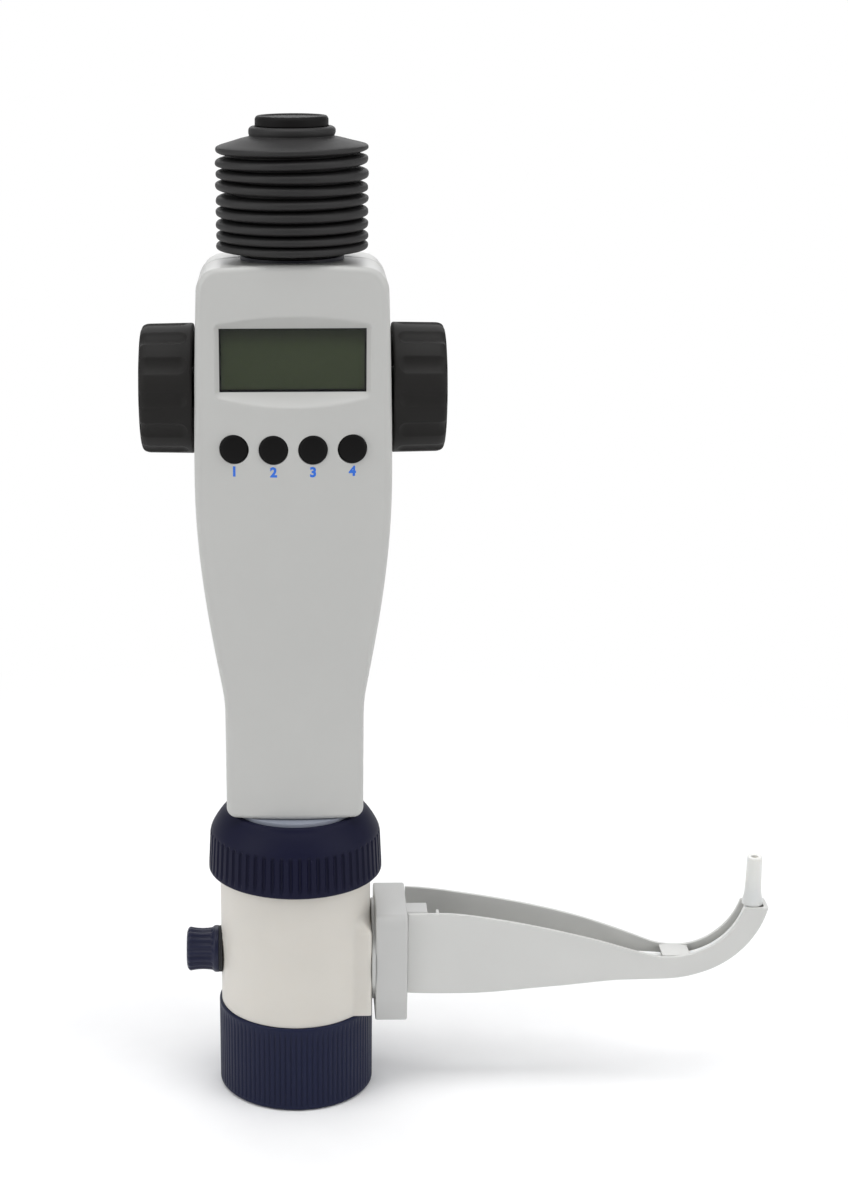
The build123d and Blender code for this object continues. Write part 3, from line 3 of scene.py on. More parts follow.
import bmesh
import bpy
import numpy as np
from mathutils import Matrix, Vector


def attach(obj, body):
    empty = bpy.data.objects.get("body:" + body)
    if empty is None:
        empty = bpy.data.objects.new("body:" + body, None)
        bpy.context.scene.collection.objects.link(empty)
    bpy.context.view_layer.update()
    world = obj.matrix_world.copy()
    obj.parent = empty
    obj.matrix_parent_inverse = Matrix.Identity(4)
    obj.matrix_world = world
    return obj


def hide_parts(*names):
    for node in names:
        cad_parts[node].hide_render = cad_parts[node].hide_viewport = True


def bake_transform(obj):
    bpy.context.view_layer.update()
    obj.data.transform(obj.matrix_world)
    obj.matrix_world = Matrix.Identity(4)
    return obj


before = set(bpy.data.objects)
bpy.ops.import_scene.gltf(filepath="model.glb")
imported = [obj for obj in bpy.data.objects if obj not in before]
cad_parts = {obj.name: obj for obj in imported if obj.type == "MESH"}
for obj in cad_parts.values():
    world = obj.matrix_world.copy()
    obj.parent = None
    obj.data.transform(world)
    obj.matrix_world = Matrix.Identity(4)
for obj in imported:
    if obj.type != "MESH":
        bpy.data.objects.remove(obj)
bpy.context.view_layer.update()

# Front housing shell
# A moulded shell of light grey plastic, bulged across its front, with a sloped recess round the display. It
# is screwed to the rear shell along a parting line at the handwheels' shaft. Sizes are in millimetres
# throughout.
NECK_HALF_W = 23.5
SHOULDER_HALF_W = 32.5
NECK_DEPTH = 18.6
FRONT_DEPTH = 22.5
REAR_DEPTH = 25.0
NECK_TOP_Z = 148.0
SHOULDER_Z = 225.0
HOUSING_LOW_Z = 106.1
HOUSING_TOP_Z = 296.2
TOP_ARCH_R = 230.0
TOP_CORNER_R = 7.0
BOTTOM_CORNER_R = 3.4
FRONT_BULGE_R = 100.0
REAR_BULGE_R = 140.0
SPLIT_Y = 5.0
WINDOW_W = 47.7
WINDOW_H = 20.7
WINDOW_Z = 265.05
RECESS_Y = -17.6
RECESS_SLOPE = 1.07
FORK_Z = 227.0
END_STEPS = 60
SIDE_STEPS = 60
HOUSING_WALL = 1.6
SHADOW_GAP = 0.12
FRONT_EDGE_R = 2.6
FRONT_END_R = 1.9
KEY_XS = (-19.275, -6.425, 6.425, 19.275)
KEY_Z = 236.4
KEY_HOLE_R = 4.85


def half_width(z):
    """Half the width at height z: a constant neck, a quarter sine out to the shoulder, then a slow taper."""
    rise = np.clip((z - NECK_TOP_Z) / (SHOULDER_Z - NECK_TOP_Z), -1, 1)
    ramp = (SHOULDER_HALF_W - NECK_HALF_W) * np.sin(np.pi / 2 * rise)
    flare = 0.35 * np.logaddexp(0, ramp / 0.35)
    fall = np.clip((z - SHOULDER_Z) / 73, 0, 1) ** 1.6
    return NECK_HALF_W + flare - 1.75 * fall


def depth_at(z, full_depth):
    """The depth beside the axis at height z: the neck's, then a quarter sine out to the full depth."""
    rise = np.clip((z - NECK_TOP_Z) / (SHOULDER_Z - NECK_TOP_Z), -1, 1)
    ramp = (full_depth - NECK_DEPTH) * np.sin(np.pi / 2 * rise)
    return NECK_DEPTH + 0.35 * np.logaddexp(0, ramp / 0.35)


def front_y(x, z):
    """The front face without its recess: the depth at z, bulged forward by an arc across x."""
    return -depth_at(z, FRONT_DEPTH) + x ** 2 / (2 * FRONT_BULGE_R)


def front_face_y(x, z):
    """The front face with its recess: a flat floor and sloped walls, joined to the bulge by a smooth
    maximum."""
    over_x = np.maximum(np.abs(x) - WINDOW_W / 2, 0)
    over_z = np.maximum(np.abs(z - WINDOW_Z) - WINDOW_H / 2, 0)
    recess = RECESS_Y - RECESS_SLOPE * np.hypot(over_x, over_z)
    face = front_y(x, z)
    return 0.5 * (face + recess + np.sqrt((face - recess) ** 2 + 0.25 ** 2))


def rear_face_y(x, z):
    """The rear face: the depth at z, bulged backward by a flatter arc across x."""
    return depth_at(z, REAR_DEPTH) - x ** 2 / (2 * REAR_BULGE_R)


def silhouette(side_r, end_r, side_steps=60, end_steps=60):
    """The housing's outline from the front as a closed loop of (x, z), pulled in by the radii of its soft
    edges. It starts at the low left corner and goes right, up, back and down, and FORK_Z is one of its
    heights. The sides' radius shrinks towards the tighter low corners. Returns loop, normals, radii and the
    fork's index."""
    corner_z = HOUSING_TOP_Z - 31.0 ** 2 / (2 * TOP_ARCH_R) - TOP_CORNER_R
    low_r = BOTTOM_CORNER_R
    turn = np.linspace(0, np.pi / 4, 7)
    rows = np.concatenate([
        np.linspace(HOUSING_LOW_Z + low_r, NECK_TOP_Z - 5, 14),
        np.linspace(NECK_TOP_Z - 4, NECK_TOP_Z + 6, 14),
        np.linspace(NECK_TOP_Z + 8, FORK_Z, 36),
        np.linspace(FORK_Z, corner_z, side_steps - 5)[1:],
    ])
    centre_x = half_width(corner_z) - TOP_CORNER_R
    side_x = np.concatenate([
        NECK_HALF_W - low_r + low_r * np.cos(turn[:0:-1]),
        half_width(rows),
        centre_x + TOP_CORNER_R * np.cos(turn[1:]),
    ])
    side_z = np.concatenate([
        HOUSING_LOW_Z + low_r - low_r * np.sin(turn[:0:-1]),
        rows,
        corner_z + TOP_CORNER_R * np.sin(turn[1:]),
    ])
    top_x = np.concatenate([
        centre_x + TOP_CORNER_R * np.sin(turn[::-1]),
        np.linspace(centre_x, -centre_x, end_steps - 11)[1:-1],
        -centre_x - TOP_CORNER_R * np.sin(turn),
    ])
    over = np.maximum(np.abs(top_x) - centre_x, 0)
    arch_z = HOUSING_TOP_Z - top_x ** 2 / (2 * TOP_ARCH_R)
    top_z = arch_z - TOP_CORNER_R + np.sqrt(TOP_CORNER_R ** 2 - over ** 2)
    top_z[0] = top_z[-1] = side_z[-1]
    low_x = NECK_HALF_W - low_r + low_r * np.sin(turn)
    low_x = np.concatenate([-low_x[::-1], np.linspace(-low_x[0], low_x[0], end_steps - 11)[1:-1], low_x])
    over = np.maximum(np.abs(low_x) - NECK_HALF_W + low_r, 0)
    low_z = HOUSING_LOW_Z + low_r - np.sqrt(low_r ** 2 - over ** 2)
    loop = np.concatenate([
        np.stack([low_x, low_z], -1)[:-1],
        np.stack([side_x, side_z], -1)[:-1],
        np.stack([top_x, top_z], -1)[:-1],
        np.stack([-side_x, side_z], -1)[:0:-1],
    ])
    along = np.roll(loop, -1, axis=0) - np.roll(loop, 1, axis=0)
    along /= np.linalg.norm(along, axis=1, keepdims=True)
    normal = np.stack([along[:, 1], -along[:, 0]], -1)
    fork = len(low_x) - 1 + len(side_x) - side_steps - 1
    rise = np.clip((loop[:, 1] - HOUSING_LOW_Z) / 16, 0, 1)
    tight_r = min(side_r, BOTTOM_CORNER_R - 0.5)
    local_side_r = tight_r + (side_r - tight_r) * rise ** 2 * (3 - 2 * rise)
    reach = np.stack([local_side_r, np.full(len(loop), end_r)], -1)
    return loop - normal * reach, normal, reach, fork


def face_grids(loop, fork, end_steps, frame_x, frame_z, face_y):
    """A face as grids of points: rows across the body below FORK_Z, and above it rings that change from the
    outline into the rectangle of frame_x by frame_z. Both blend linearly between their borders."""
    def laid(flat):
        return np.stack([flat[..., 0], face_y(flat[..., 0], flat[..., 1]), flat[..., 1]], -1)

    count = len(loop)
    low = loop[:end_steps + 1]
    right = loop[end_steps:fork + 1]
    left = loop[-np.arange(fork + 1 - end_steps) % count]
    across = (low[:, :1] - low[0, :1]) / (low[-1, :1] - low[0, :1])
    fork_line = left[-1] * (1 - across) + right[-1] * across
    share = np.linspace(0, 1, len(right))[:, None, None]
    sides = left[:, None] * (1 - across) + right[:, None] * across
    bow = (low - (low[0] * (1 - across) + low[-1] * across))[None] * np.clip(1 - 6 * share, 0, 1)
    lower = laid(sides + bow)
    upper = loop[fork:count - fork + end_steps + 1]
    outer = np.concatenate([fork_line[:-1], upper[:-1]])
    inner = np.concatenate([
        np.stack([frame_x, np.full_like(frame_x, frame_z[0])], -1)[:-1],
        np.stack([np.full_like(frame_z, frame_x[-1]), frame_z], -1)[:-1],
        np.stack([frame_x[::-1], np.full_like(frame_x, frame_z[-1])], -1)[:-1],
        np.stack([np.full_like(frame_z, frame_x[0]), frame_z[::-1]], -1)[:-1],
    ])
    share = np.linspace(0, 1, 22)[:, None, None]
    rings = laid(inner[None] * (1 - share) + outer[None] * share)
    return [(lower, False, False), (rings, False, True)]


def rolled_edge(loop, normal, reach, face_y, to_y, outward):
    """Rows of points from a face's border round a soft edge and along the wall to the plane y = to_y.
    The edge is a quarter ellipse as wide as the local radius, reach."""
    turn = np.linspace(0, np.pi / 2, 9)[:, None]
    local_r = np.linalg.norm(normal * reach, axis=1)
    edge_y = face_y(loop[:, 0], loop[:, 1])
    x = loop[:, 0] + normal[:, 0] * reach[:, 0] * np.sin(turn)
    z = loop[:, 1] + normal[:, 1] * reach[:, 1] * np.sin(turn)
    y = edge_y - outward * local_r * (1 - np.cos(turn))
    share = np.array([0.02, 0.2, 0.5, 0.8, 0.97, 0.99, 1.0])[:, None]
    lip = np.array([0, 0, 0, 0, 0, 0.12, 0.3])[:, None]
    wall_x = x[-1] - normal[:, 0] * lip
    wall_z = z[-1] - normal[:, 1] * lip
    wall_y = y[-1] + (to_y - y[-1]) * share
    return np.concatenate([np.stack([x, y, z], -1), np.stack([wall_x, wall_y, wall_z], -1)])


def grid_faces(rows, columns, wrap_rows, wrap_columns):
    """The quads of a grid of points, each from a point to its right and upper neighbours."""
    index = np.arange(rows * columns).reshape(rows, columns)
    if wrap_columns:
        index = np.hstack([index, index[:, :1]])
    if wrap_rows:
        index = np.vstack([index, index[:1]])
    return np.stack([index[:-1, :-1], index[:-1, 1:], index[1:, 1:], index[1:, :-1]], -1).reshape(-1, 4)


def build(name, grids, crease=40.0, open_round=None):
    """One mesh from grids of points in millimetres, each given as (points, wrap rows, wrap columns).
    Points that meet are welded, faces point outward, and edges sharper than the crease angle stay sharp.
    An open shell's faces point away from the point open_round."""
    points, faces, start = [], [], 0
    for grid, wrap_rows, wrap_columns in grids:
        rows, columns = grid.shape[:2]
        points.append(grid.reshape(-1, 3))
        faces.append(grid_faces(rows, columns, wrap_rows, wrap_columns) + start)
        start += rows * columns
    mesh = bpy.data.meshes.new(name)
    mesh.from_pydata((np.concatenate(points) * 0.001).tolist(), [], np.concatenate(faces).tolist())
    work = bmesh.new()
    work.from_mesh(mesh)
    bmesh.ops.remove_doubles(work, verts=work.verts, dist=2e-6)
    loose = [edge for edge in work.edges if not edge.link_faces]
    bmesh.ops.delete(work, geom=loose, context="EDGES")
    bmesh.ops.recalc_face_normals(work, faces=work.faces)
    if open_round is not None:
        middle = Vector(open_round) * 0.001
        outward = sum(f.calc_area() * f.normal.dot(f.calc_center_median() - middle) for f in work.faces)
        if outward < 0:
            bmesh.ops.reverse_faces(work, faces=work.faces)
    work.to_mesh(mesh)
    work.free()
    mesh.shade_smooth()
    mesh.set_sharp_from_angle(angle=math.radians(crease))
    made = bpy.data.objects.new(name, mesh)
    bpy.context.scene.collection.objects.link(made)
    return made


def finish_piece(made, material, body, slot, *nodes):
    """Gives a piece its material and its body, and hides the CAD nodes that it stands for. Its slot is not
    used.
    """
    made.data.materials.clear()
    made.data.materials.append(material)
    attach(made, body)
    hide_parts(*nodes)


def fill(tree, made, inputs):
    """Sets a node's inputs: a socket is linked to its input, and any other value is written into it."""
    for key, value in inputs.items():
        if isinstance(value, bpy.types.NodeSocket):
            tree.links.new(value, made.inputs[key])
        else:
            made.inputs[key].default_value = value


def node(tree, kind, inputs=None, **settings):
    """Adds a shader node with its settings and inputs."""
    made = tree.nodes.new("ShaderNode" + kind)
    for key, value in settings.items():
        setattr(made, key, value)
    fill(tree, made, inputs or {})
    return made


def larger(tree, first, second):
    """The larger of two sockets' values."""
    return node(tree, "Math", {0: first, 1: second}, operation="MAXIMUM").outputs["Value"]


def shaded(name):
    """A new material, with its node tree and main shader."""
    material = bpy.data.materials.new(name)
    material.use_nodes = True
    return material, material.node_tree, material.node_tree.nodes["Principled BSDF"]


def moulded(name, colour, roughness, grain, grain_depth, drift=0.05, soft=0.0, shine=0.5):
    """A moulded plastic or rubber: tone and roughness drift slowly over the piece, and a fine grain lies in
    the bump. grain is the grain's size and grain_depth its depth, both in metres."""
    material, tree, shader = shaded(name)
    place = node(tree, "TexCoord").outputs["Object"]
    patches = node(tree, "TexNoise", {"Vector": place, "Scale": 45.0, "Detail": 4.0}).outputs["Fac"]
    tone = node(tree, "ValToRGB", {"Fac": patches})
    for element, spot, change in zip(tone.color_ramp.elements, (0.3, 0.7), (1 - drift, 1 + drift)):
        element.position = spot
        element.color = [min(c * change, 1) for c in colour] + [1]
    gloss = node(tree, "MapRange", {
        "Value": patches,
        "To Min": roughness * 0.85,
        "To Max": min(roughness * 1.15, 1.0),
    })
    texture = node(tree, "TexNoise", {"Vector": place, "Scale": 1 / grain, "Detail": 3.0})
    bump = node(tree, "Bump", {"Height": texture.outputs["Fac"], "Distance": grain_depth})
    fill(tree, shader, {
        "Base Color": tone.outputs["Color"],
        "Roughness": gloss.outputs["Result"],
        "Normal": bump.outputs["Normal"],
        "Specular IOR Level": shine,
    })
    if soft:
        fill(tree, shader, {
            "Subsurface Weight": soft,
            "Subsurface Radius": (0.004, 0.0035, 0.003),
            "Subsurface Scale": 1.0,
        })
    return material


def settled(made):
    """Keeps what a piece's modifiers make of it as its mesh."""
    solid = made.evaluated_get(bpy.context.evaluated_depsgraph_get())
    mesh = bpy.data.meshes.new_from_object(solid)
    made.modifiers.clear()
    made.data = mesh


def drilled(made, spots, radius, low, high, along):
    """Cuts round holes through a piece with cylinders along one axis, then drops the cutters."""
    axis = "xyz".index(along)
    turn = np.linspace(0, 2 * np.pi, 64, endpoint=False)
    first, second = (i for i in range(3) if i != axis)
    for spot in spots:
        rows = np.zeros((4, 64, 3))
        reach = np.array([0, radius, radius, 0])[:, None]
        rows[..., first] = spot[0] + reach * np.cos(turn)
        rows[..., second] = spot[1] + reach * np.sin(turn)
        rows[..., axis] = np.array([low, low, high, high])[:, None]
        cutter = build("cutter", [(rows, False, True)])
        cut = made.modifiers.new("hole", "BOOLEAN")
        cut.object = cutter
        cut.solver = "EXACT"
        settled(made)
        bpy.data.objects.remove(cutter)
    made.data.set_sharp_from_angle(angle=math.radians(35))


def walled(made, thickness):
    """Gives an open shell its wall, grown inward."""
    wall = made.modifiers.new("wall", "SOLIDIFY")
    wall.thickness = thickness * 0.001
    wall.offset = -1.0
    settled(made)


def linear(red, green, blue):
    """An 8-bit screen colour as linear light."""
    return tuple((np.array([red, green, blue]) / 255) ** 2.2)


def round_window(frame_x, frame_z, first_x, first_z, face_y):
    """Four grids of points that fill the rectangle of frame_x by frame_z round its opening, which starts
    first_x columns and first_z rows in and ends as far from the other side."""
    x, z = np.meshgrid(frame_x, frame_z)
    block = np.stack([x, face_y(x, z), z], -1)
    last_x, last_z = len(frame_x) - first_x, len(frame_z) - first_z
    strips = (
        block[:, :first_x + 1],
        block[:, last_x - 1:],
        block[:first_z + 1, first_x:last_x],
        block[last_z - 1:, first_x:last_x],
    )
    return [(strip, False, False) for strip in strips]


def frame_steps(half, rim, rim_steps, steps):
    """Values across an opening of a given half size and the rim beside it, with steps runs in all."""
    near = np.linspace(half + rim, half, rim_steps)
    return np.concatenate([-near, np.linspace(-half, half, steps + 3 - 2 * rim_steps)[1:-1], near[::-1]])


front_loop, front_normal, front_reach, front_fork = silhouette(FRONT_EDGE_R, FRONT_END_R)
window_x = frame_steps(WINDOW_W / 2, 2.8, 8, END_STEPS)
window_z = WINDOW_Z + frame_steps(WINDOW_H / 2, 6.0, 17, SIDE_STEPS)
front_grids = face_grids(front_loop, front_fork, END_STEPS, window_x, window_z, front_face_y)
front_grids += round_window(window_x, window_z, 7, 16, front_face_y)
front_edge = rolled_edge(front_loop, front_normal, front_reach, front_face_y, SPLIT_Y - SHADOW_GAP / 2, -1)
front_grids.append((front_edge, False, True))
front_housing = build("front_housing", front_grids, open_round=(0, SPLIT_Y, 200))
walled(front_housing, HOUSING_WALL)
drilled(front_housing, [(x, KEY_Z) for x in KEY_XS], KEY_HOLE_R, -40, 0, "y")
housing_grey = moulded("housing grey", linear(182, 182, 179), 0.36, 0.0006, 0.00001, 0.012)
finish_piece(front_housing, housing_grey, "base", "housing", "front_shell")

# Rear housing shell
# The same moulded plastic, rounder along its edges, with six wells for the case screws and the battery
# opening. It closes on the front shell with a fine shadow gap.
REAR_EDGE_R = 6.0
REAR_END_R = 2.5
BAY_HALF_W = 22.9
BAY_LOW_Z = 261.4
BAY_HIGH_Z = 283.9
SCREW_SPOTS = ((26.4, 285.6), (27.0, 221.0), (18.8, 136.0))
SCREW_WELL_R = 2.35

rear_loop, rear_normal, rear_reach, rear_fork = silhouette(REAR_EDGE_R, REAR_END_R)
bay_x = np.linspace(-BAY_HALF_W, BAY_HALF_W, END_STEPS + 1)
bay_z = np.linspace(BAY_LOW_Z, BAY_HIGH_Z, SIDE_STEPS + 1)
rear_grids = face_grids(rear_loop, rear_fork, END_STEPS, bay_x, bay_z, rear_face_y)
rear_edge = rolled_edge(rear_loop, rear_normal, rear_reach, rear_face_y, SPLIT_Y + SHADOW_GAP / 2, 1)
rear_grids.append((rear_edge, False, True))
rear_housing = build("rear_housing", rear_grids, open_round=(0, SPLIT_Y, 200))
walled(rear_housing, HOUSING_WALL)
well_spots = [(side * x, z) for x, z in SCREW_SPOTS for side in (-1, 1)]
drilled(rear_housing, well_spots, SCREW_WELL_R, 0, 40, "y")
finish_piece(rear_housing, housing_grey, "base", "housing", "rear_shell")

# Battery cover
# A moulded plate in the rear shell's opening, on the same curve, with a thumb hollow crossed by grip ridges.
# It pulls straight off to the rear.
DOOR_GAP = 0.2
DOOR_WALL = 1.4
DOOR_ROUND = 0.5
BAY_MIDDLE_Z = (BAY_LOW_Z + BAY_HIGH_Z) / 2
BAY_HALF_H = (BAY_HIGH_Z - BAY_LOW_Z) / 2


def door_y(x, z):
    """The rear face, rounded off within DOOR_ROUND of the cover's border, less a hollow with ridges in
    it."""
    flat = DOOR_GAP + DOOR_ROUND
    near_x = np.clip((np.abs(x) - (BAY_HALF_W - flat)) / DOOR_ROUND, 0, 1)
    near_z = np.clip((np.abs(z - BAY_MIDDLE_Z) - (BAY_HALF_H - flat)) / DOOR_ROUND, 0, 1)
    edge = 0.4 * (1 - np.sqrt(1 - np.maximum(near_x, near_z) ** 2 * 0.999))
    up = z - (BAY_HIGH_Z - 5.6)
    hollow = np.clip(1 - (x / 9.5) ** 2 - (up / 4.0) ** 2, 0, 1)
    ridges = 0.22 * np.cos(up * 2 * np.pi / 1.7) * np.clip(hollow * 3, 0, 1)
    return rear_face_y(x, z) - edge - 0.8 * np.sqrt(hollow) * np.clip(hollow * 4, 0, 1) + ridges


def close_at_ends(low, high):
    """Values from low to high that lie close together near both ends."""
    near = DOOR_ROUND * (1 - np.cos(np.linspace(0, np.pi / 2, 6)))
    inner = np.linspace(low + DOOR_ROUND, high - DOOR_ROUND, 90)
    return np.concatenate([low + near[:-1], inner, high - near[-2::-1]])


door_x, door_z = np.meshgrid(
    close_at_ends(DOOR_GAP - BAY_HALF_W, BAY_HALF_W - DOOR_GAP),
    close_at_ends(BAY_LOW_Z + DOOR_GAP, BAY_HIGH_Z - DOOR_GAP),
)
door_skin = np.stack([door_x, door_y(door_x, door_z), door_z], -1)
battery_cover = build("battery_cover", [(door_skin, False, False)], open_round=(0, 0, 272))
walled(battery_cover, DOOR_WALL)
door_grey = moulded("battery cover grey", linear(180, 180, 177), 0.4, 0.0006, 0.000012, 0.012)
finish_piece(battery_cover, door_grey, "door", "door", "battery_door")

# Display
# A clear window, treated against glare, lies behind the recess, and behind it the unlit liquid crystal panel
# in its dark border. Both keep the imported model's solids.
LCD_HALF_W = 23.2
LCD_HALF_H = 9.75


def clear(name, colour, roughness, ior, shine=0.5):
    """A clear solid: full transmission with a faint tint, its roughness drifting with a slow noise."""
    material, tree, shader = shaded(name)
    smear = node(tree, "TexNoise", {"Vector": node(tree, "TexCoord").outputs["Object"], "Scale": 60.0})
    gloss = node(tree, "MapRange", {
        "Value": smear.outputs["Fac"],
        "To Min": roughness * 0.5,
        "To Max": roughness * 1.5,
    })
    fill(tree, shader, {
        "Base Color": [*colour, 1],
        "Roughness": gloss.outputs["Result"],
        "Transmission Weight": 1.0,
        "Specular IOR Level": shine,
        "IOR": ior,
    })
    return material


def panel_colours(material, centre, half_w, half_h, border, painted_top_shadow):
    """Darkens a panel outside half_w by half_h round its centre, its own dark border, and towards its top
    edge with a painted shadow that stands in for the recess's top wall shading it, by its x and z."""
    tree = material.node_tree
    shader = tree.nodes["Principled BSDF"]
    tone = shader.inputs["Base Color"].links[0].from_socket
    split = node(tree, "SeparateXYZ", {"Vector": tree.nodes["Texture Coordinate"].outputs["Object"]})
    outside = []
    for axis, middle, half in (("X", 0.0, half_w), ("Z", centre, half_h)):
        away = node(tree, "Math", {0: split.outputs[axis], 1: middle * 0.001}, operation="SUBTRACT")
        size = node(tree, "Math", {0: away.outputs["Value"]}, operation="ABSOLUTE")
        fade = node(tree, "MapRange", {
            "Value": size.outputs["Value"],
            "From Min": (half - 0.12) * 0.001,
            "From Max": (half + 0.12) * 0.001,
        })
        outside.append(fade.outputs["Result"])
    # painted shadow: the colour darkens smoothly over the panel's upper part towards its top edge
    shade = node(tree, "MapRange", {
        "Value": split.outputs["Z"],
        "From Min": (centre + half_h * 0.35) * 0.001,
        "From Max": (centre + half_h) * 0.001,
        "To Max": painted_top_shadow,
    }, interpolation_type="SMOOTHSTEP")
    dark = larger(tree, larger(tree, *outside), shade.outputs["Result"])
    mix = node(tree, "Mix", data_type="RGBA")
    fill(tree, mix, {"Factor": dark, "A": tone, "B": [*border, 1]})
    fill(tree, shader, {"Base Color": mix.outputs["Result"]})


def node_finish(material, *names):
    """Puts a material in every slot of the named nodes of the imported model."""
    for name in names:
        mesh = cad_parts[name].data
        mesh.materials.clear()
        mesh.materials.append(material)


window_clear = clear("window acrylic", (0.93, 0.95, 0.93), 0.04, 1.2, 0.2)
panel_olive = moulded("unlit display", linear(58, 64, 47), 0.5, 0.0002, 0.000004, 0.03, shine=0.1)
border_black = linear(14, 15, 15)
# The panel's olive darkens towards its top edge, a painted shadow of the recess's top wall; the near-black
# band round it is the panel's own border.
panel_colours(panel_olive, WINDOW_Z, LCD_HALF_W, LCD_HALF_H, border_black, 0.7)
node_finish(window_clear, "display_window")
node_finish(panel_olive, "display_module")

# Keys
# Four round caps of near-black plastic with a shallow dome, each sliding in a sleeve of the front shell.
# A flange behind the sleeve holds the cap.
KEY_R = 4.7
KEY_PROUD = 0.9
KEY_DOME = 0.35
KEY_FLANGE_R = 5.5
KEY_FLANGE_Y = -17.1
KEY_BACK_Y = -15.3


def softened(corners, radii, steps=5):
    """A closed outline with rounded corners: each corner becomes a parabola whose ends lie a radius away
    from it on its two runs, or half a run where that is shorter."""
    corners = np.asarray(corners, float)
    back = np.roll(corners, 1, axis=0) - corners
    ahead = np.roll(corners, -1, axis=0) - corners
    back_l = np.linalg.norm(back, axis=1)
    ahead_l = np.linalg.norm(ahead, axis=1)
    reach = np.minimum(radii, 0.499 * np.minimum(back_l, ahead_l))[:, None]
    start = (corners + back / back_l[:, None] * reach)[:, None]
    end = (corners + ahead / ahead_l[:, None] * reach)[:, None]
    t = np.linspace(0, 1, steps + 1)[None, :, None]
    curve = (1 - t) ** 2 * start + 2 * t * (1 - t) * corners[:, None] + t ** 2 * end
    return curve.reshape(-1, 2)


def turned(outline, radii, axis="z", centre=(0.0, 0.0), steps=128, change=None):
    """A grid of points for a turned piece: its softened outline of (radius, height) pairs is carried round
    an axis through centre. An outline whose first and last corners lie on the axis makes a solid, any other
    a ring. A radius of 0 keeps a corner as one point. change(radius, height, angle) gives new radii."""
    corners = np.asarray(outline, float)
    radii = np.broadcast_to(np.asarray(radii, float), len(corners)).copy()
    solid = corners[0, 0] == 0 and corners[-1, 0] == 0
    if solid:
        radii[0] = radii[-1] = 0
    line = softened(corners, radii)
    line = line[np.linalg.norm(line - np.roll(line, 1, axis=0), axis=1) > 1e-6]
    angle = np.linspace(0, 2 * np.pi, steps, endpoint=False)[None]
    r = np.repeat(line[:, :1], steps, axis=1)
    h = np.repeat(line[:, 1:], steps, axis=1)
    if change is not None:
        r = change(r, h, angle)
    across = centre[0] + r * np.cos(angle)
    up = centre[1] + r * np.sin(angle)
    points = {"x": (h, across, up), "y": (across, h, up), "z": (across, up, h)}[axis]
    return np.stack(points, -1), not solid, True


key_black = moulded("key black", linear(15, 14, 14), 0.55, 0.0004, 0.000012, 0.05, shine=0.15)
for number, key_x in enumerate(KEY_XS, 1):
    crown_y = front_y(key_x, KEY_Z) - KEY_PROUD
    key = build(f"key_cap_{number}", [turned(
        (
            (0, crown_y),
            (KEY_R * 0.55, crown_y + KEY_DOME * 0.3),
            (KEY_R * 0.85, crown_y + KEY_DOME),
            (KEY_R, crown_y + KEY_DOME + 0.35),
            (KEY_R, KEY_FLANGE_Y),
            (KEY_FLANGE_R, KEY_FLANGE_Y),
            (KEY_FLANGE_R, KEY_FLANGE_Y + 1.0),
            (KEY_R - 0.1, KEY_FLANGE_Y + 1.0),
            (KEY_R - 0.1, KEY_BACK_Y),
            (0, KEY_BACK_Y),
        ),
        (0, 1.2, 0.8, 0.3, 0.1, 0.1, 0.1, 0.1, 0.2, 0), "y", (key_x, KEY_Z), 96,
    )], 50)
    finish_piece(key, key_black, f"key_{number}", "button", f"button_{number}")

# Key numbers
# Plain printed numbers in blue under the keys, a film of ink on the front shell that follows its curve.
NUMBER_H = 3.2
NUMBER_Z = 229.1
INK_T = 0.03

ink_blue = moulded("printing ink blue", linear(40, 104, 205), 0.42, 0.0003, 0.000004, 0.03)
for number, key_x in enumerate(KEY_XS, 1):
    figure = bpy.data.curves.new(f"number_{number}", "FONT")
    figure.body = str(number)
    figure.size = NUMBER_H * 0.001 * 1.38
    figure.offset = 0.0002
    figure.extrude = 0.00002
    figure.align_x = "CENTER"
    figure.resolution_u = 8
    plate = bpy.data.objects.new("figure", figure)
    bpy.context.scene.collection.objects.link(plate)
    flat = bpy.data.meshes.new_from_object(plate.evaluated_get(bpy.context.evaluated_depsgraph_get()))
    bpy.data.objects.remove(plate)
    spots = np.empty(len(flat.vertices) * 3)
    flat.vertices.foreach_get("co", spots)
    spots = spots.reshape(-1, 3) * 1000
    x = key_x + spots[:, 0] - (spots[:, 0].min() + spots[:, 0].max()) / 2
    z = NUMBER_Z + spots[:, 1] - (spots[:, 1].min() + spots[:, 1].max()) / 2
    y = front_face_y(x, z) - INK_T * (spots[:, 2] > 0) + INK_T * (spots[:, 2] < 0)
    flat.vertices.foreach_set("co", (np.stack([x, y, z], -1) * 0.001).ravel())
    flat.update()
    printed = bpy.data.objects.new(f"key_number_{number}", flat)
    bpy.context.scene.collection.objects.link(printed)
    finish_piece(printed, ink_blue, "base", "dark_plastic")

# Handwheels
# Two cupped knobs of matt charcoal plastic on the ends of the cross shaft, with twelve rounded grip flutes
# each. A boss inside each cup takes the shaft.
SHAFT_Y = 5.0
SHAFT_Z = 252.0
WHEEL_R = 21.7
WHEEL_IN_X = 32.9
WHEEL_OUT_X = 50.5
FLUTES = 12
FLUTE_DEPTH = 0.95
FLUTE_HALF = 0.135
FLUTE_END_X = 37.2


def fluted(r, h, a):
    """Hollows the rim: across a flute the depth is an arc of a circle, and it ends in a round inboard."""
    pitch = 2 * np.pi / FLUTES
    off = (a + np.pi) % pitch
    off = np.minimum(off, pitch - off) / FLUTE_HALF
    inboard = np.clip((FLUTE_END_X - np.abs(h)) / 2.6, 0, 1)
    arc = np.clip(1 - (off ** 2 + inboard ** 2), 0, 1)
    on_rim = np.clip((r - WHEEL_R + 3.5) / 1.5, 0, 1) * (np.abs(h) < WHEEL_OUT_X - 0.05)
    return r - FLUTE_DEPTH * arc ** 0.8 * on_rim


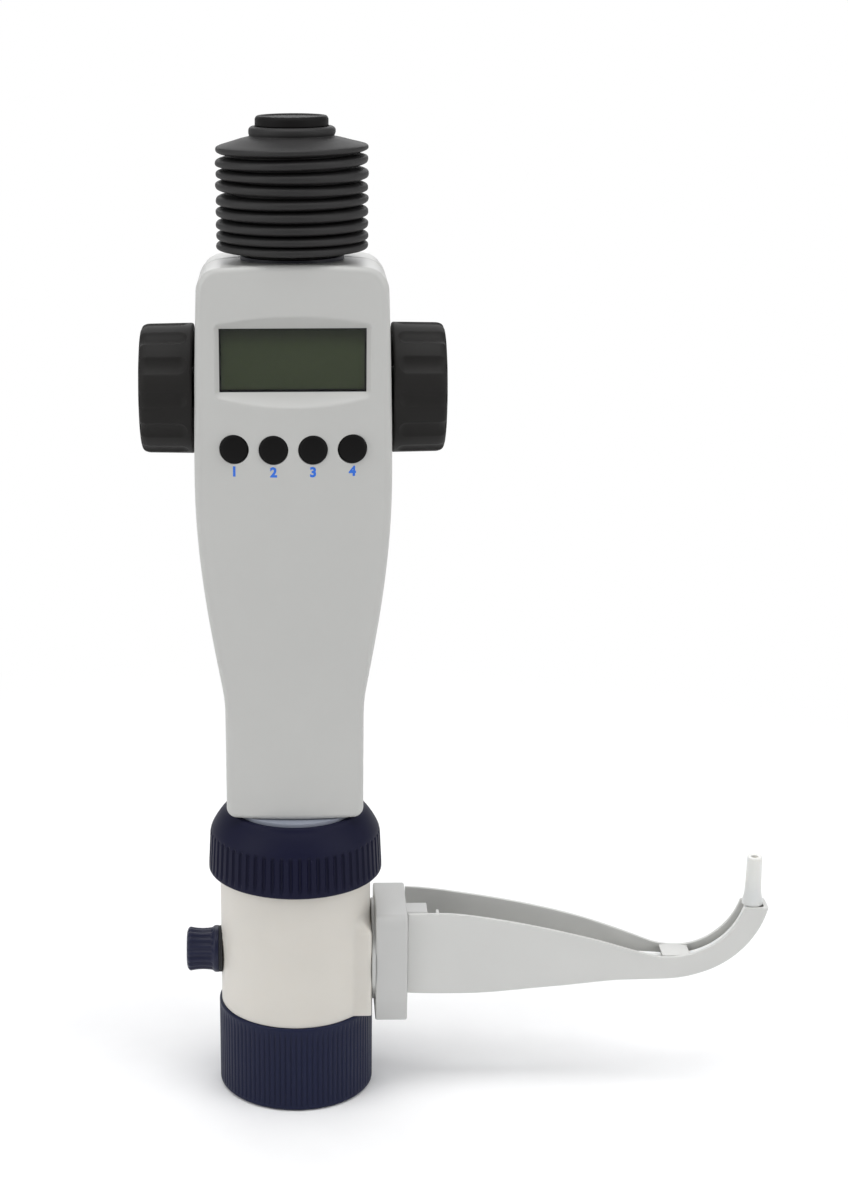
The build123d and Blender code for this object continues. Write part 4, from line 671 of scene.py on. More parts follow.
wheel_charcoal = moulded("handwheel charcoal", linear(32, 31, 30), 0.6, 0.0005, 0.00003, 0.06, shine=0.2)
rim_xs = np.concatenate([np.linspace(WHEEL_OUT_X - 2.2, FLUTE_END_X + 0.5, 6), np.linspace(37.2, 34.4, 14)])
for side, hand in ((-1, "left"), (1, "right")):
    rim = [(WHEEL_R - 0.3 * (x - WHEEL_IN_X) / 17.6, side * x) for x in rim_xs]
    wheel = build(f"wheel_{hand}", [turned(
        (
            (0, side * (WHEEL_OUT_X - 0.5)),
            (14.2, side * (WHEEL_OUT_X - 0.5)),
            (14.8, side * WHEEL_OUT_X),
            (WHEEL_R - 2.4, side * WHEEL_OUT_X),
            (WHEEL_R - 0.9, side * (WHEEL_OUT_X - 0.6)),
            *rim,
            (WHEEL_R, side * (WHEEL_IN_X + 0.5)),
            (WHEEL_R - 0.4, side * WHEEL_IN_X),
            (WHEEL_R - 2.4, side * WHEEL_IN_X),
            (WHEEL_R - 2.4, side * (WHEEL_OUT_X - 2.4)),
            (7.0, side * (WHEEL_OUT_X - 2.4)),
            (7.0, side * WHEEL_IN_X),
            (2.0, side * WHEEL_IN_X),
            (2.0, side * (WHEEL_OUT_X - 3.4)),
            (0, side * (WHEEL_OUT_X - 3.4)),
        ),
        (0, 0.5, 0.5, 1.2, 1.6, 1.2, *[0.2] * (len(rim) - 1), 0.4, 0.3, 0.3, 1.0, 0.6, 0.3, 0.3, 0.1, 0),
        "x", (SHAFT_Y, SHAFT_Z), 432, fluted,
    )], 50)
    finish_piece(wheel, wheel_charcoal, "handwheel", "wheel", f"handwheel_{hand}")

# Bellows
# Folded matt rubber that covers the rack where it rises out of the housing. Its folds lean a little against
# each other as they do in the photograph. Its foot sits on the ring in the housing's top, its mouth grips
# the cap.
FOLD_ZS = (300.0, 303.2, 306.9, 310.9, 314.8, 319.0, 323.0, 327.1)
FOLD_TILTS = (0.0, 0.0, 0.0, 0.1, 0.28, -0.5, 0.0, 0.63)
FOLD_HALVES = (1.45, 1.5, 1.65, 1.7, 1.6, 1.6, 1.65, 1.6)
FOLD_R = 24.8
VALLEY_R = 18.5
NECK_R = 14.2
CONE_Z = 331.35
CONE_TILT = 0.36
BEAD_R = 14.1
BEAD_LOW_Z = 335.0
CAP_Z = 338.2
BELLOWS_LOW_Z = 296.9


def leaning(points):
    """Tilts the folds: each point's height changes with x by the tilt of its own height, smooth in
    between."""
    heights = (BELLOWS_LOW_Z, *FOLD_ZS, CONE_Z, CONE_Z + 4)
    tilts = (0.0, *FOLD_TILTS, CONE_TILT, 0.0)
    tilt = np.interp(points[..., 2], heights, tilts)
    leant = points.copy()
    leant[..., 2] += tilt * points[..., 0] / FOLD_R
    leant[..., 0] += 0.12 * np.sin(points[..., 2] * 0.9)
    return leant


folds, fold_radii = [], []
for fold_z, half in zip(FOLD_ZS, FOLD_HALVES):
    folds += [
        (VALLEY_R, fold_z - half * 0.9),
        (FOLD_R - 1.8, fold_z - half),
        (FOLD_R, fold_z - half * 0.55),
        (FOLD_R, fold_z + half * 0.55),
        (FOLD_R - 1.8, fold_z + half),
        (VALLEY_R, fold_z + half * 0.9),
    ]
    fold_radii += [0.8, 1.0, 0.8, 0.8, 1.0, 0.8]
bellows_outline = (
    (NECK_R - 1.2, BELLOWS_LOW_Z),
    (NECK_R + 0.8, BELLOWS_LOW_Z),
    (NECK_R, BELLOWS_LOW_Z + 1.0),
    (NECK_R, FOLD_ZS[0] - FOLD_HALVES[0] * 1.1),
    *folds,
    (VALLEY_R, CONE_Z - 1.9),
    (FOLD_R - 1.6, CONE_Z - 1.6),
    (FOLD_R, CONE_Z - 0.8),
    (FOLD_R - 0.1, CONE_Z + 0.5),
    (FOLD_R - 1.4, CONE_Z + 1.0),
    (20.0, CONE_Z + 1.9),
    (16.6, CONE_Z + 2.9),
    (BEAD_R + 0.3, BEAD_LOW_Z - 0.3),
    (BEAD_R - 0.4, BEAD_LOW_Z),
    (BEAD_R, BEAD_LOW_Z + 0.9),
    (BEAD_R, CAP_Z - 0.9),
    (BEAD_R - 0.9, CAP_Z - 0.1),
    (12.0, CAP_Z - 0.1),
    (12.0, CONE_Z + 4.0),
    (16.2, CONE_Z - 1.0),
    (16.2, FOLD_ZS[0]),
    (NECK_R - 1.2, FOLD_ZS[0] - 1.0),
)
bellows_radii = (
    0.2, 0.3, 0.6, 0.8, *fold_radii,
    0.8, 0.8, 0.9, 0.6, 0.8, 2.0, 2.0, 0.4, 0.4, 0.9, 0.9, 0.8, 0.2, 1, 1, 1, 1,
)
bellows_grid, _, _ = turned(bellows_outline, bellows_radii, "z", (0, 0), 180)
folded_bellows = build("folded_bellows", [(leaning(bellows_grid), True, True)], 60)
rubber_charcoal = moulded("bellows rubber", linear(29, 28, 28), 0.62, 0.0004, 0.00003, 0.08, shine=0.45)
folded_bellows.data.materials.append(rubber_charcoal)
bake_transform(folded_bellows)
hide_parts("bellows")

# Rod cap
# A round cap of black plastic pressed in the bellows' mouth, with a bevelled rim and a shallow dished top.
# It grips the end of the rack.
CAP_R = 11.9
CAP_TOP_Z = 341.4

rod_end = build("rod_end_cap", [turned(
    (
        (0, CAP_TOP_Z - 0.5),
        (9.6, CAP_TOP_Z - 0.5),
        (10.4, CAP_TOP_Z),
        (11.3, CAP_TOP_Z),
        (CAP_R, CAP_TOP_Z - 0.9),
        (CAP_R, CAP_Z + 0.1),
        (11.6, CAP_Z - 0.1),
        (11.6, CAP_Z - 2.4),
        (0, CAP_Z - 2.4),
    ),
    (0, 0.6, 0.4, 0.5, 0.5, 0.2, 0.2, 0.3, 0), "z", (0, 0), 128,
)], 50)
cap_black = moulded("rod cap black", linear(21, 20, 20), 0.6, 0.0004, 0.00002, 0.06, shine=0.15)
finish_piece(rod_end, cap_black, "piston", "dark_plastic", "rod_cap")

# Bellows ring
# A black plastic ring let into the housing's top, which holds the bellows' foot and guides the rack.
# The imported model's own solid has its shape, and only gets its material.
ring_black = moulded("bellows ring black", linear(30, 31, 42), 0.45, 0.0004, 0.00002, 0.05, shine=0.3)
node_finish(ring_black, "bellows_ring")

# Union nut
# A ribbed ring nut of navy plastic that clamps the cylinder adapter on the valve block. Sixty ribs run up to
# its knee, and a smooth rounded shoulder closes in above them.
NUT_R = 30.4
NUT_LOW_Z = 81.8
NUT_KNEE_Z = 95.6
NUT_TOP_Z = 105.2


def ribbed(count, depth, share, low, high, fade, beyond):
    """Returns a change for turned(): count grooves of the given depth, each filling share of its pitch with
    soft sides. They fade in and out over fade at the heights low and high, and only cut radii larger than
    beyond."""
    def cut(r, h, a):
        place = 2 * np.abs((a * count / (2 * np.pi)) % 1 - 0.5)
        side = np.clip((share + 0.16 - place) / 0.32, 0, 1)
        ends = np.clip((h - low) / fade, 0, 1) * np.clip((high - h) / fade, 0, 1)
        soft_ends = ends ** 2 * (3 - 2 * ends)
        return r - depth * side ** 2 * (3 - 2 * side) * soft_ends * (r > beyond)
    return cut


def between(first, last, count):
    """Corners on the straight run from first to last, both left out."""
    share = np.linspace(0, 1, count + 2)[1:-1, None]
    return [tuple(point) for point in np.array(first) * (1 - share) + np.array(last) * share]


nut_navy = moulded("union nut navy", linear(25, 26, 46), 0.5, 0.0005, 0.00002, 0.05, shine=0.12)
nut_low = (NUT_R, NUT_LOW_Z + 0.6)
nut_knee = (29.8, NUT_KNEE_Z)
nut_rows = between(nut_low, (NUT_R, NUT_LOW_Z + 2.2), 5) + between((NUT_R, NUT_LOW_Z + 2.2), nut_knee, 14)
nut_outline = (
    (25.9, NUT_LOW_Z),
    (NUT_R - 0.5, NUT_LOW_Z),
    nut_low,
    *nut_rows,
    nut_knee,
    *between(nut_knee, (29.4, 97.2), 2),
    (29.1, 97.8),
    (27.9, 99.9),
    (26.3, 102.2),
    (24.8, 103.9),
    (24.4, 104.5),
    (24.0, NUT_TOP_Z),
    (22.6, NUT_TOP_Z),
    (22.3, NUT_TOP_Z - 0.4),
    (22.3, 97.3),
    (25.6, 97.3),
)
nut_radii = (
    0.3, 0.4, 0.3, *[0] * len(nut_rows),
    0.5, 0.3, 0.3, 0.8, 1.2, 1.2, 0.5, 0.3, 0.5, 0.2, 0.2, 0.2, 0.3,
)
ribbed_nut = build("ribbed_nut", [turned(
    nut_outline, nut_radii, "z", (0, 0), 720,
    ribbed(60, 0.7, 0.34, NUT_LOW_Z + 1.1, NUT_KNEE_Z + 1.4, 1.5, 28.6),
)], 55)
finish_piece(ribbed_nut, nut_navy, "nut", "dark_plastic", "union_nut")

# Cylinder adapter
# A grey-blue plastic ring between the nut and the housing's neck, whose two ears are screwed into the neck.
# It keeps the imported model's solid.
adapter_blue = moulded("adapter grey-blue", linear(140, 145, 157), 0.4, 0.0005, 0.00001, 0.03)
node_finish(adapter_blue, "cylinder_adapter")

# Valve block
# One turned body of warm translucent white fluoroplastic, with a flat pad for the arm on its right, a well
# and a neck below, and the vent's threaded hole on its left.
BLOCK_R = 26.5
BLOCK_LOW_Z = 31.8
PAD_X = 26.6
PAD_HALF_Y = 17.2
PAD_TOP_Z = 68.0
AXIS_Z = 50.0
VENT_X = -26.0
FOOT_Z = 25.4


def padded_side(r, h, a):
    """Lets a box stand out of the turned body on its +X side up to PAD_TOP_Z, and cuts a flat round seat on
    -X. In a direction a, the box's face lies PAD_X / cos a away and its sides PAD_HALF_Y / sin a."""
    ahead = np.maximum(np.cos(a), 1e-3)
    beside = np.maximum(np.abs(np.sin(a)), 1e-3)
    box_r = -0.5 * np.logaddexp(-PAD_X / ahead / 0.5, -PAD_HALF_Y / beside / 0.5)
    height = np.clip((PAD_TOP_Z + 0.5 - h) / 6.0, 0, 1)
    height = height ** 2 * (3 - 2 * height)
    reach = np.where(np.cos(a) > 0, 0.5 * np.logaddexp(0, (box_r - BLOCK_R) / 0.5), 0) * height
    behind = np.maximum(-np.cos(a), 1e-3)
    seat = (BLOCK_R * np.sin(a)) ** 2 + (h - AXIS_Z) ** 2 < 9.2 ** 2
    seat_cut = np.maximum(BLOCK_R - -VENT_X / behind, 0) * (np.cos(a) < 0) * seat
    return r + (reach - seat_cut) * (r > BLOCK_R - 0.5) * (h > BLOCK_LOW_Z - 0.05)


block_white = moulded("block fluoroplastic", linear(206, 202, 194), 0.42, 0.0012, 0.000012, 0.015, 0.25)
block_rows = between((BLOCK_R, BLOCK_LOW_Z), (BLOCK_R, PAD_TOP_Z + 3), 70)
block_outline = (
    (0, 34.0),
    (9.0, 34.0),
    (9.0, FOOT_Z),
    (20.0, FOOT_Z),
    (20.0, BLOCK_LOW_Z),
    (BLOCK_R, BLOCK_LOW_Z),
    *block_rows,
    (BLOCK_R, PAD_TOP_Z + 3),
    (BLOCK_R, 84.0),
    (25.6, 84.9),
    (25.6, 93.4),
    (16.3, 93.4),
    (16.3, 91.4),
    (0, 91.4),
)
block_radii = (0, 0.1, 0.4, 0.5, 0.2, 0.15, *[0] * len(block_rows), 0.2, 0.3, 0.3, 0.4, 0.2, 0.2, 0)
valve_body = build("valve_body", [turned(block_outline, block_radii, "z", (0, 0), 360, padded_side)], 50)
drilled(valve_body, [(0, AXIS_Z)], 4.5, -30, -12, "x")
finish_piece(valve_body, block_white, "base", "block", "valve_block")

# Vent cap
# A waisted knob of navy plastic with eighteen soft ribs and a plain flange. Its stem goes into the vent's
# hole, and a black rubber washer lies under the flange.
CAP_FACE_X = -27.3


def waisted(r, h, a):
    """Eighteen rounded ribs: the radius falls by a raised cosine between them, fading out at the flange."""
    fade = np.clip((CAP_FACE_X - 1.9 - h) / 0.8, 0, 1) * np.clip((h - CAP_FACE_X + 11.4) / 1.0, 0, 1)
    wave = 0.5 + 0.5 * np.cos(a * 18)
    return r - 0.5 * wave ** 1.6 * fade * (r > 5.5)


cap_xs = np.linspace(-2.4, -10.2, 10)
cap_waist = [(7.3 + 0.5 * ((x + 5.8) / 4.4) ** 2, CAP_FACE_X + x) for x in cap_xs]
cap_corners = (
    (0, CAP_FACE_X - 11.3),
    (5.2, CAP_FACE_X - 11.5),
    (6.4, CAP_FACE_X - 11.4),
    (7.5, CAP_FACE_X - 10.8),
    *cap_waist[::-1],
    (8.3, CAP_FACE_X - 1.5),
    (8.3, CAP_FACE_X),
    (4.4, CAP_FACE_X),
    (4.4, CAP_FACE_X + 11.2),
    (4.0, CAP_FACE_X + 11.5),
    (0, CAP_FACE_X + 11.5),
)
cap_rounds = (0, 1, 0.6, 0.6, *[0.3] * len(cap_waist), 0.4, 0.4, 0.2, 0.2, 0.3, 0)
vent_knob = build("vent_knob", [turned(cap_corners, cap_rounds, "x", (0, AXIS_Z), 216, waisted)], 50)
cap_navy = moulded("vent cap navy", linear(27, 30, 54), 0.42, 0.0004, 0.000015, 0.05, shine=0.3)
finish_piece(vent_knob, cap_navy, "vent", "dark_plastic", "vent_cap")
washer_black = moulded("washer rubber", linear(26, 26, 28), 0.7, 0.0004, 0.00002, 0.08)
node_finish(washer_black, "vent_washer")

# Bottle collar
# A deep ribbed ring of navy plastic with the bottle's round thread inside. Ninety fine ribs stand on its
# wall, and a lip at its top turns on the block's neck.
COLLAR_R = 27.4
COLLAR_TOP_Z = 31.7
THREAD_R = 22.8
THREAD_PITCH = 6.0
THREAD_DEPTH = 0.35


def collar_sides(r, h, a):
    """Ribs on the outside. Inside, a round thread: a helix with crests where sin(h / pitch - turn) peaks."""
    outside = ribbed(90, 0.4, 0.28, 1.6, 30.5, 0.7, COLLAR_R - 0.15)(r, h, a)
    wind = np.sin(2 * np.pi * h / THREAD_PITCH - a)
    ends = np.clip((h - 2) / 3, 0, 1) * np.clip((22.5 - h) / 3, 0, 1)
    crest = THREAD_DEPTH * np.clip(wind, 0, 1) * ends
    return np.where(np.abs(r - THREAD_R) < 0.05, r + THREAD_DEPTH * ends - crest, outside)


collar_rows = between((COLLAR_R, 0.9), (COLLAR_R, 2.4), 5) + between((COLLAR_R, 2.4), (COLLAR_R, 30.6), 8)
thread_rows = between((THREAD_R, 24.0), (THREAD_R, 0.4), 36)
collar_outline = (
    (THREAD_R + 0.4, 0),
    (COLLAR_R - 0.8, 0),
    (COLLAR_R, 0.9),
    *collar_rows,
    (COLLAR_R, 30.6),
    (COLLAR_R, COLLAR_TOP_Z - 0.4),
    (COLLAR_R - 0.4, COLLAR_TOP_Z),
    (20.3, COLLAR_TOP_Z),
    (20.3, 28.5),
    (23.2, 28.5),
    (23.2, 24.0),
    (THREAD_R, 24.0),
    *thread_rows,
    (THREAD_R, 0.4),
)
collar_radii = (
    0.3, 0.6, 0.3, *[0] * len(collar_rows),
    0.1, 0.3, 0.4, 0.4, 0.3, 0.2, 0.2, 0.1, *[0] * len(thread_rows), 0.2,
)
ribbed_collar = build("ribbed_collar", [turned(
    collar_outline, collar_radii, "z", (0, 0), 810, collar_sides,
)], 55)
collar_navy = moulded("collar navy", linear(24, 29, 54), 0.45, 0.0005, 0.00002, 0.05, shine=0.2)
finish_piece(ribbed_collar, collar_navy, "collar", "dark_plastic", "bottle_collar")

# Arm hub
# A rounded block of light grey plastic that turns with the disc on the pad, and a tongue that reaches into
# the arm. The two are one moulding.
HUB_X = 28.0
HUB_END_X = 39.2
HUB_HALF_Y = 17.0
HUB_TOP_Z = 69.0
HUB_LOW_Z = 28.8
TONGUE_END_X = 46.4


def prism(outline, radii, axis, low, high, edge, centre, steps=6):
    """A grid of points for a plate: a softened outline between two planes across an axis. Its rims are
    quarter circles of the radius edge, and fans of faces from centre close its ends."""
    line = softened(outline, radii, steps)
    along = np.roll(line, -1, axis=0) - np.roll(line, 1, axis=0)
    along /= np.maximum(np.linalg.norm(along, axis=1, keepdims=True), 1e-9)
    normal = np.stack([along[:, 1], -along[:, 0]], -1)
    turn = np.linspace(0, np.pi / 2, 6)
    pulls = np.concatenate([edge * (1 - np.sin(turn)), edge * (1 - np.cos(turn))])
    levels = np.concatenate([low + edge * (1 - np.cos(turn)), high - edge * (1 - np.sin(turn))])
    rows = line[None] - normal[None] * pulls[:, None, None]
    middle = np.broadcast_to(np.asarray(centre, float), line.shape)[None]
    rows = np.concatenate([middle, rows, middle])
    levels = np.concatenate([[low], levels, [high]])[:, None] * np.ones(len(line))
    first, second = rows[..., 0], rows[..., 1]
    points = {"x": (levels, first, second), "y": (first, levels, second), "z": (first, second, levels)}[axis]
    return np.stack(points, -1), False, True


hub_outline = (
    (-HUB_HALF_Y, HUB_TOP_Z),
    (-HUB_HALF_Y, 36.8),
    (2.0 - HUB_HALF_Y, HUB_LOW_Z),
    (HUB_HALF_Y - 2.0, HUB_LOW_Z),
    (HUB_HALF_Y, 36.8),
    (HUB_HALF_Y, HUB_TOP_Z),
)
tongue_outline = (
    (-10.3, 68.2),
    (-10.3, 42.0),
    (10.3, 42.0),
    (10.3, 60.0),
    (-1.5, 60.0),
    (-1.5, 68.2),
)
arm_grey = moulded("arm grey", linear(198, 198, 195), 0.38, 0.0006, 0.000008, 0.012)
# painted shade: the hub and its disc get a darker copy of the arm's grey, standing in for the shadow the hub
# sits in beside the valve block
hub_grey_painted_shade = moulded("hub grey with painted shade", linear(186, 186, 184), 0.45, 0.0006, 0.00001, 0.012)
hub_block = build("hub_block", [
    prism(hub_outline, (4.0, 0.5, 1.2, 1.2, 0.5, 4.0), "x", HUB_X, HUB_END_X, 0.7, (0, 50.0)),
    prism(
        tongue_outline, (0.8, 0.4, 0.4, 0.6, 0.6, 0.8),
        "x", HUB_END_X - 1.0, TONGUE_END_X, 0.35, (-5.0, 52.0),
    ),
], 35)
finish_piece(hub_block, hub_grey_painted_shade, "arm", "arm", "arm_hub")
node_finish(hub_grey_painted_shade, "hub_disc")

# Arm
# A long channel moulded in light grey plastic: two walls and a floor that taper to a tip, which bends up to
# hold the tube upright. A short rib and a bridge inside it keep the tube down.
ARM_ROOT_X = 39.5
ARM_WALL = 1.3
ARM_FLOOR = 1.4
BEND = (134.4, 74.0)
BEND_LOW_R = 33.8
BEND_RIM_R = 25.5
ARM_TIP_Z = 66.5
FLOOR_POINTS = (
    (36.0, 38.4), (39.5, 38.2), (62.0, 36.9), (90.0, 39.1), (114.0, 40.9), (134.4, 40.2), (142.0, 41.1),
)
RIM_POINTS = (
    (36.0, 68.5), (39.5, 68.5), (56.0, 67.5), (80.0, 63.4), (104.0, 57.4), (126.86, 49.64), (133.0, 48.5),
)
PLAN_POINTS = ((39.5, 13.0), (57.0, 10.6), (98.0, 10.1), (120.0, 8.5), (142.0, 4.8), (168.0, 4.6))


def flowing(points, steps):
    """A Catmull-Rom spline through all the points but the first and the last, which only lead in and out."""
    p = np.asarray(points, float)
    t = np.linspace(0, 1, steps, endpoint=False)[None, :, None]
    a, b, c, d = (p[i:len(p) - 3 + i, None] for i in range(4))
    square = 2 * a - 5 * b + 4 * c - d
    cube = 3 * b - a - 3 * c + d
    runs = 0.5 * (2 * b + (c - a) * t + square * t ** 2 + cube * t ** 3)
    return np.concatenate([runs.reshape(-1, 2), p[-2:-1]])


def bent(radius, start, steps):
    """Points on the bend's circle of a radius, from an angle up to the height of the tip."""
    angle = np.linspace(start, np.arcsin((ARM_TIP_Z - BEND[1]) / radius), steps)
    return np.stack([BEND[0] + radius * np.cos(angle), BEND[1] + radius * np.sin(angle)], -1)


arm_low = np.concatenate([flowing(FLOOR_POINTS, 12)[:-1], bent(BEND_LOW_R, -np.pi / 2, 40)])
arm_rim = np.concatenate([flowing(RIM_POINTS, 15)[:-1], bent(BEND_RIM_R, np.radians(-107.2), 40)])
steps_low = np.linspace(0, 1, len(arm_low))
arm_rim = np.stack([np.interp(steps_low, np.linspace(0, 1, len(arm_rim)), arm_rim[:, i]) for i in (0, 1)], -1)
plan_x = np.linspace(PLAN_POINTS[0][0], PLAN_POINTS[-1][0], 200)
plan_y = np.interp(plan_x, *np.array(PLAN_POINTS).T)
plan_y = np.convolve(np.pad(plan_y, 8, mode="edge"), np.ones(17) / 17, "valid")


def channel(low, rim, corner, lip):
    """The arm's skin: at each station a U of constant wall, from rim to rim round the outside and back
    inside. A point of the U lies b beside the middle and u above the floor, on the line from the floor to
    the rim."""
    turn = np.linspace(0, np.pi / 2, 7)
    half = np.interp(low[:, 0], plan_x, plan_y)[:, None]
    rim_half = np.interp(rim[:, 0], plan_x, plan_y)[:, None]
    height = np.linalg.norm(rim - low, axis=1)[:, None]
    one = np.ones_like(turn)
    floor_share = np.array([0.0, 0.3, 0.6, 0.85])
    wall_share = np.array([0.15, 0.35, 0.55, 0.75, 0.92])

    outer_floor = (floor_share * (half - corner), 0 * floor_share * height)
    outer_corner = (half - corner * (1 - np.sin(turn)), corner * (1 - np.cos(turn)) + 0 * height)
    outer_wall = (half + 0 * wall_share, corner + wall_share * (height - corner - lip))
    outer_lip = (half - lip * (1 - np.cos(turn)), height - lip * (1 - np.sin(turn)))
    inner_lip = (half - ARM_WALL + lip * (1 - np.sin(turn)), height - lip * (1 - np.cos(turn)))
    inner_half = half - ARM_WALL
    inner_rise = height - ARM_FLOOR - corner - lip
    inner_wall = (inner_half + 0 * wall_share, ARM_FLOOR + corner + wall_share[::-1] * inner_rise)
    inner_corner = (
        inner_half - corner * (1 - np.cos(turn)),
        ARM_FLOOR + corner * (1 - np.sin(turn)) + 0 * height,
    )
    inner_floor = (floor_share[::-1] * (half - ARM_WALL - corner), ARM_FLOOR + 0 * floor_share * height)
    outside = (outer_floor, outer_corner, outer_wall, outer_lip)
    inside = (inner_lip, inner_wall, inner_corner, inner_floor)
    parts = outside + inside
    beside = np.concatenate([part[0] for part in parts], axis=1)
    above = np.concatenate([part[1] for part in parts], axis=1)
    narrowing = (rim_half - half) * np.clip(above / height, 0, 1)
    beside = np.where(beside > 0, beside + narrowing, beside)
    beside = np.concatenate([beside, -beside[:, -2:0:-1]], axis=1)
    above = np.concatenate([above, above[:, -2:0:-1]], axis=1)
    share = (above / height)[..., None]
    spot = low[:, None] * (1 - share) + rim[:, None] * share
    return np.stack([spot[..., 0], beside, spot[..., 1]], -1)


arm_skin = channel(arm_low, arm_rim, 0.9, 0.4)


def end_face(ring):
    """Closes the U's end with a strip from rim to rim, between its outer side and its inner side."""
    outer, inner = np.split(np.roll(ring, len(ring) // 4, axis=0), 2)
    return np.stack([outer, inner[::-1]]), False, False


def slab(low, high, radius, steps=5):
    """A box with rounded edges: each corner carries an eighth of a sphere, and the flat faces lie between
    them. Its poles are closed by fans."""
    low, high = np.asarray(low, float), np.asarray(high, float)
    centre, half = (low + high) / 2, (high - low) / 2 - radius
    quarter = np.linspace(0, np.pi / 2, steps)
    round_ = np.concatenate([quarter + k * np.pi / 2 for k in range(4)])[None]
    sign_x = np.repeat([1, -1, -1, 1], steps)[None]
    sign_y = np.repeat([1, 1, -1, -1], steps)[None]
    up = np.concatenate([quarter - np.pi / 2, quarter])[:, None]
    sign_z = np.repeat([-1, 1], steps)[:, None]
    x = centre[0] + half[0] * sign_x + radius * np.cos(up) * np.cos(round_)
    y = centre[1] + half[1] * sign_y + radius * np.cos(up) * np.sin(round_)
    z = centre[2] + half[2] * sign_z + radius * np.sin(up) + 0 * x
    points = np.stack([x, y, z], -1)
    foot = np.broadcast_to([centre[0], centre[1], low[2]], points[:1].shape)
    head = np.broadcast_to([centre[0], centre[1], high[2]], points[:1].shape)
    return np.concatenate([foot, points, head]), False, True


long_arm = build("long_arm", [
    (arm_skin, False, True),
    end_face(arm_skin[0]),
    end_face(arm_skin[-1]),
    slab((49.45, -11.0, 44.0), (50.55, -5.4, 67.2), 0.3),
    slab((130.5, -4.7, 47.9), (140.5, 4.7, 48.7), 0.25),
], 35)
finish_piece(long_arm, arm_grey, "arm", "arm", "arm_shell")

# Discharge tube and nozzle
# A fluoroplastic tube runs from the plug through the hub and along the channel, and turns up at the tip,
# where a translucent nozzle with a flared foot is pushed over it.
NOZZLE_X = 162.3
NOZZLE_TOP_Z = 84.5

tube_white = moulded("tube fluoroplastic", linear(232, 232, 228), 0.35, 0.0008, 0.000008, 0.02, 0.4)
node_finish(tube_white, "discharge_tube")
tip_white = moulded("nozzle fluoroplastic", linear(216, 216, 212), 0.3, 0.0008, 0.000008, 0.02, 0.4)
drop_tip = build("drop_tip", [turned(
    (
        (3.0, ARM_TIP_Z + 0.1),
        (3.7, ARM_TIP_Z + 0.1),
        (3.6, ARM_TIP_Z + 1.6),
        (3.1, ARM_TIP_Z + 3.4),
        (2.85, ARM_TIP_Z + 6.0),
        (2.7, ARM_TIP_Z + 12.0),
        (2.6, NOZZLE_TOP_Z),
        (1.2, NOZZLE_TOP_Z),
        (1.2, ARM_TIP_Z + 8.0),
        (2.05, ARM_TIP_Z + 8.0),
        (2.05, ARM_TIP_Z + 6.5),
        (3.0, ARM_TIP_Z + 2.0),
    ),
    (0.2, 0.3, 0.8, 1.5, 1.5, 1.0, 0.4, 0.3, 0.1, 0.1, 0.3, 0.5), "z", (NOZZLE_X, 0), 96,
)], 50)
finish_piece(drop_tip, tip_white, "arm", "fluoroplastic", "nozzle")

# Pieces inside and below
# Screws, gears, bearings, the glass cylinder with its piston, the valves, the cells and the board keep the
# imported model's solids, each with the material that it is made of.


def metal(name, colour, roughness, streak, along="Z"):
    """A machined metal: its roughness follows fine streaks, a noise stretched along one axis."""
    material, tree, shader = shaded(name)
    stretch = node(tree, "Mapping", {
        "Vector": node(tree, "TexCoord").outputs["Object"],
        "Scale": [1.0 if axis == along else streak for axis in "XYZ"],
    })
    lines = node(tree, "TexNoise", {"Vector": stretch.outputs["Vector"], "Scale": 150.0, "Detail": 4.0})
    gloss = node(tree, "MapRange", {
        "Value": lines.outputs["Fac"],
        "To Min": roughness * 0.7,
        "To Max": min(roughness * 1.4, 1.0),
    })
    fill(tree, shader, {"Base Color": [*colour, 1], "Roughness": gloss.outputs["Result"], "Metallic": 1.0})
    return material


steel = metal("turned steel", (0.56, 0.56, 0.55), 0.28, 12.0)
brass = metal("pinion brass", (0.7, 0.5, 0.24), 0.3, 8.0)
glass = clear("borosilicate glass", (0.97, 0.99, 0.98), 0.02, 1.47)
ceramic = moulded("valve ceramic", linear(238, 236, 230), 0.15, 0.001, 0.000002, 0.01)
seal_black = moulded("seal rubber", linear(24, 24, 25), 0.65, 0.0004, 0.00001, 0.08)
gear_white = moulded("gear acetal", linear(228, 226, 218), 0.4, 0.0006, 0.000004, 0.02)
board_green = moulded("board green", linear(28, 92, 58), 0.35, 0.0008, 0.00001, 0.12)
frame_black = moulded("inner black plastic", linear(36, 36, 38), 0.5, 0.0006, 0.00001, 0.05)
cell_wrap = moulded("cell wrap", linear(66, 92, 130), 0.3, 0.002, 0.000004, 0.08)
plug_white = moulded("plug fluoroplastic", linear(232, 230, 224), 0.4, 0.001, 0.000008, 0.015)
node_finish(steel, "case_screws", "adapter_screws", "board_screws", "frame_screws")
node_finish(steel, "handwheel_shaft", "gear_axle", "gear_frame")
node_finish(steel, "battery_contact_left", "battery_contact_right")
node_finish(brass, "drive_pinion")
node_finish(glass, "glass_cylinder")
node_finish(ceramic, "inlet_seat", "inlet_ball", "outlet_ball")
node_finish(seal_black, "plug_ring_inner", "plug_ring_outer", "cylinder_seal", "bottle_gasket")
node_finish(seal_black, "button_mat")
node_finish(gear_white, "reduction_gear", "rack_pinion", "piston_rod")
node_finish(gear_white, "shaft_bush_left", "shaft_bush_right")
node_finish(adapter_blue, "rod_guide")
node_finish(board_green, "circuit_board")
node_finish(frame_black, "encoder_disc", "encoder_sensor", "retaining_ring")
node_finish(cell_wrap, "battery_cell_lower", "battery_cell_upper")
node_finish(plug_white, "valve_plug", "inlet_nipple", "piston_head", "piston_seal")

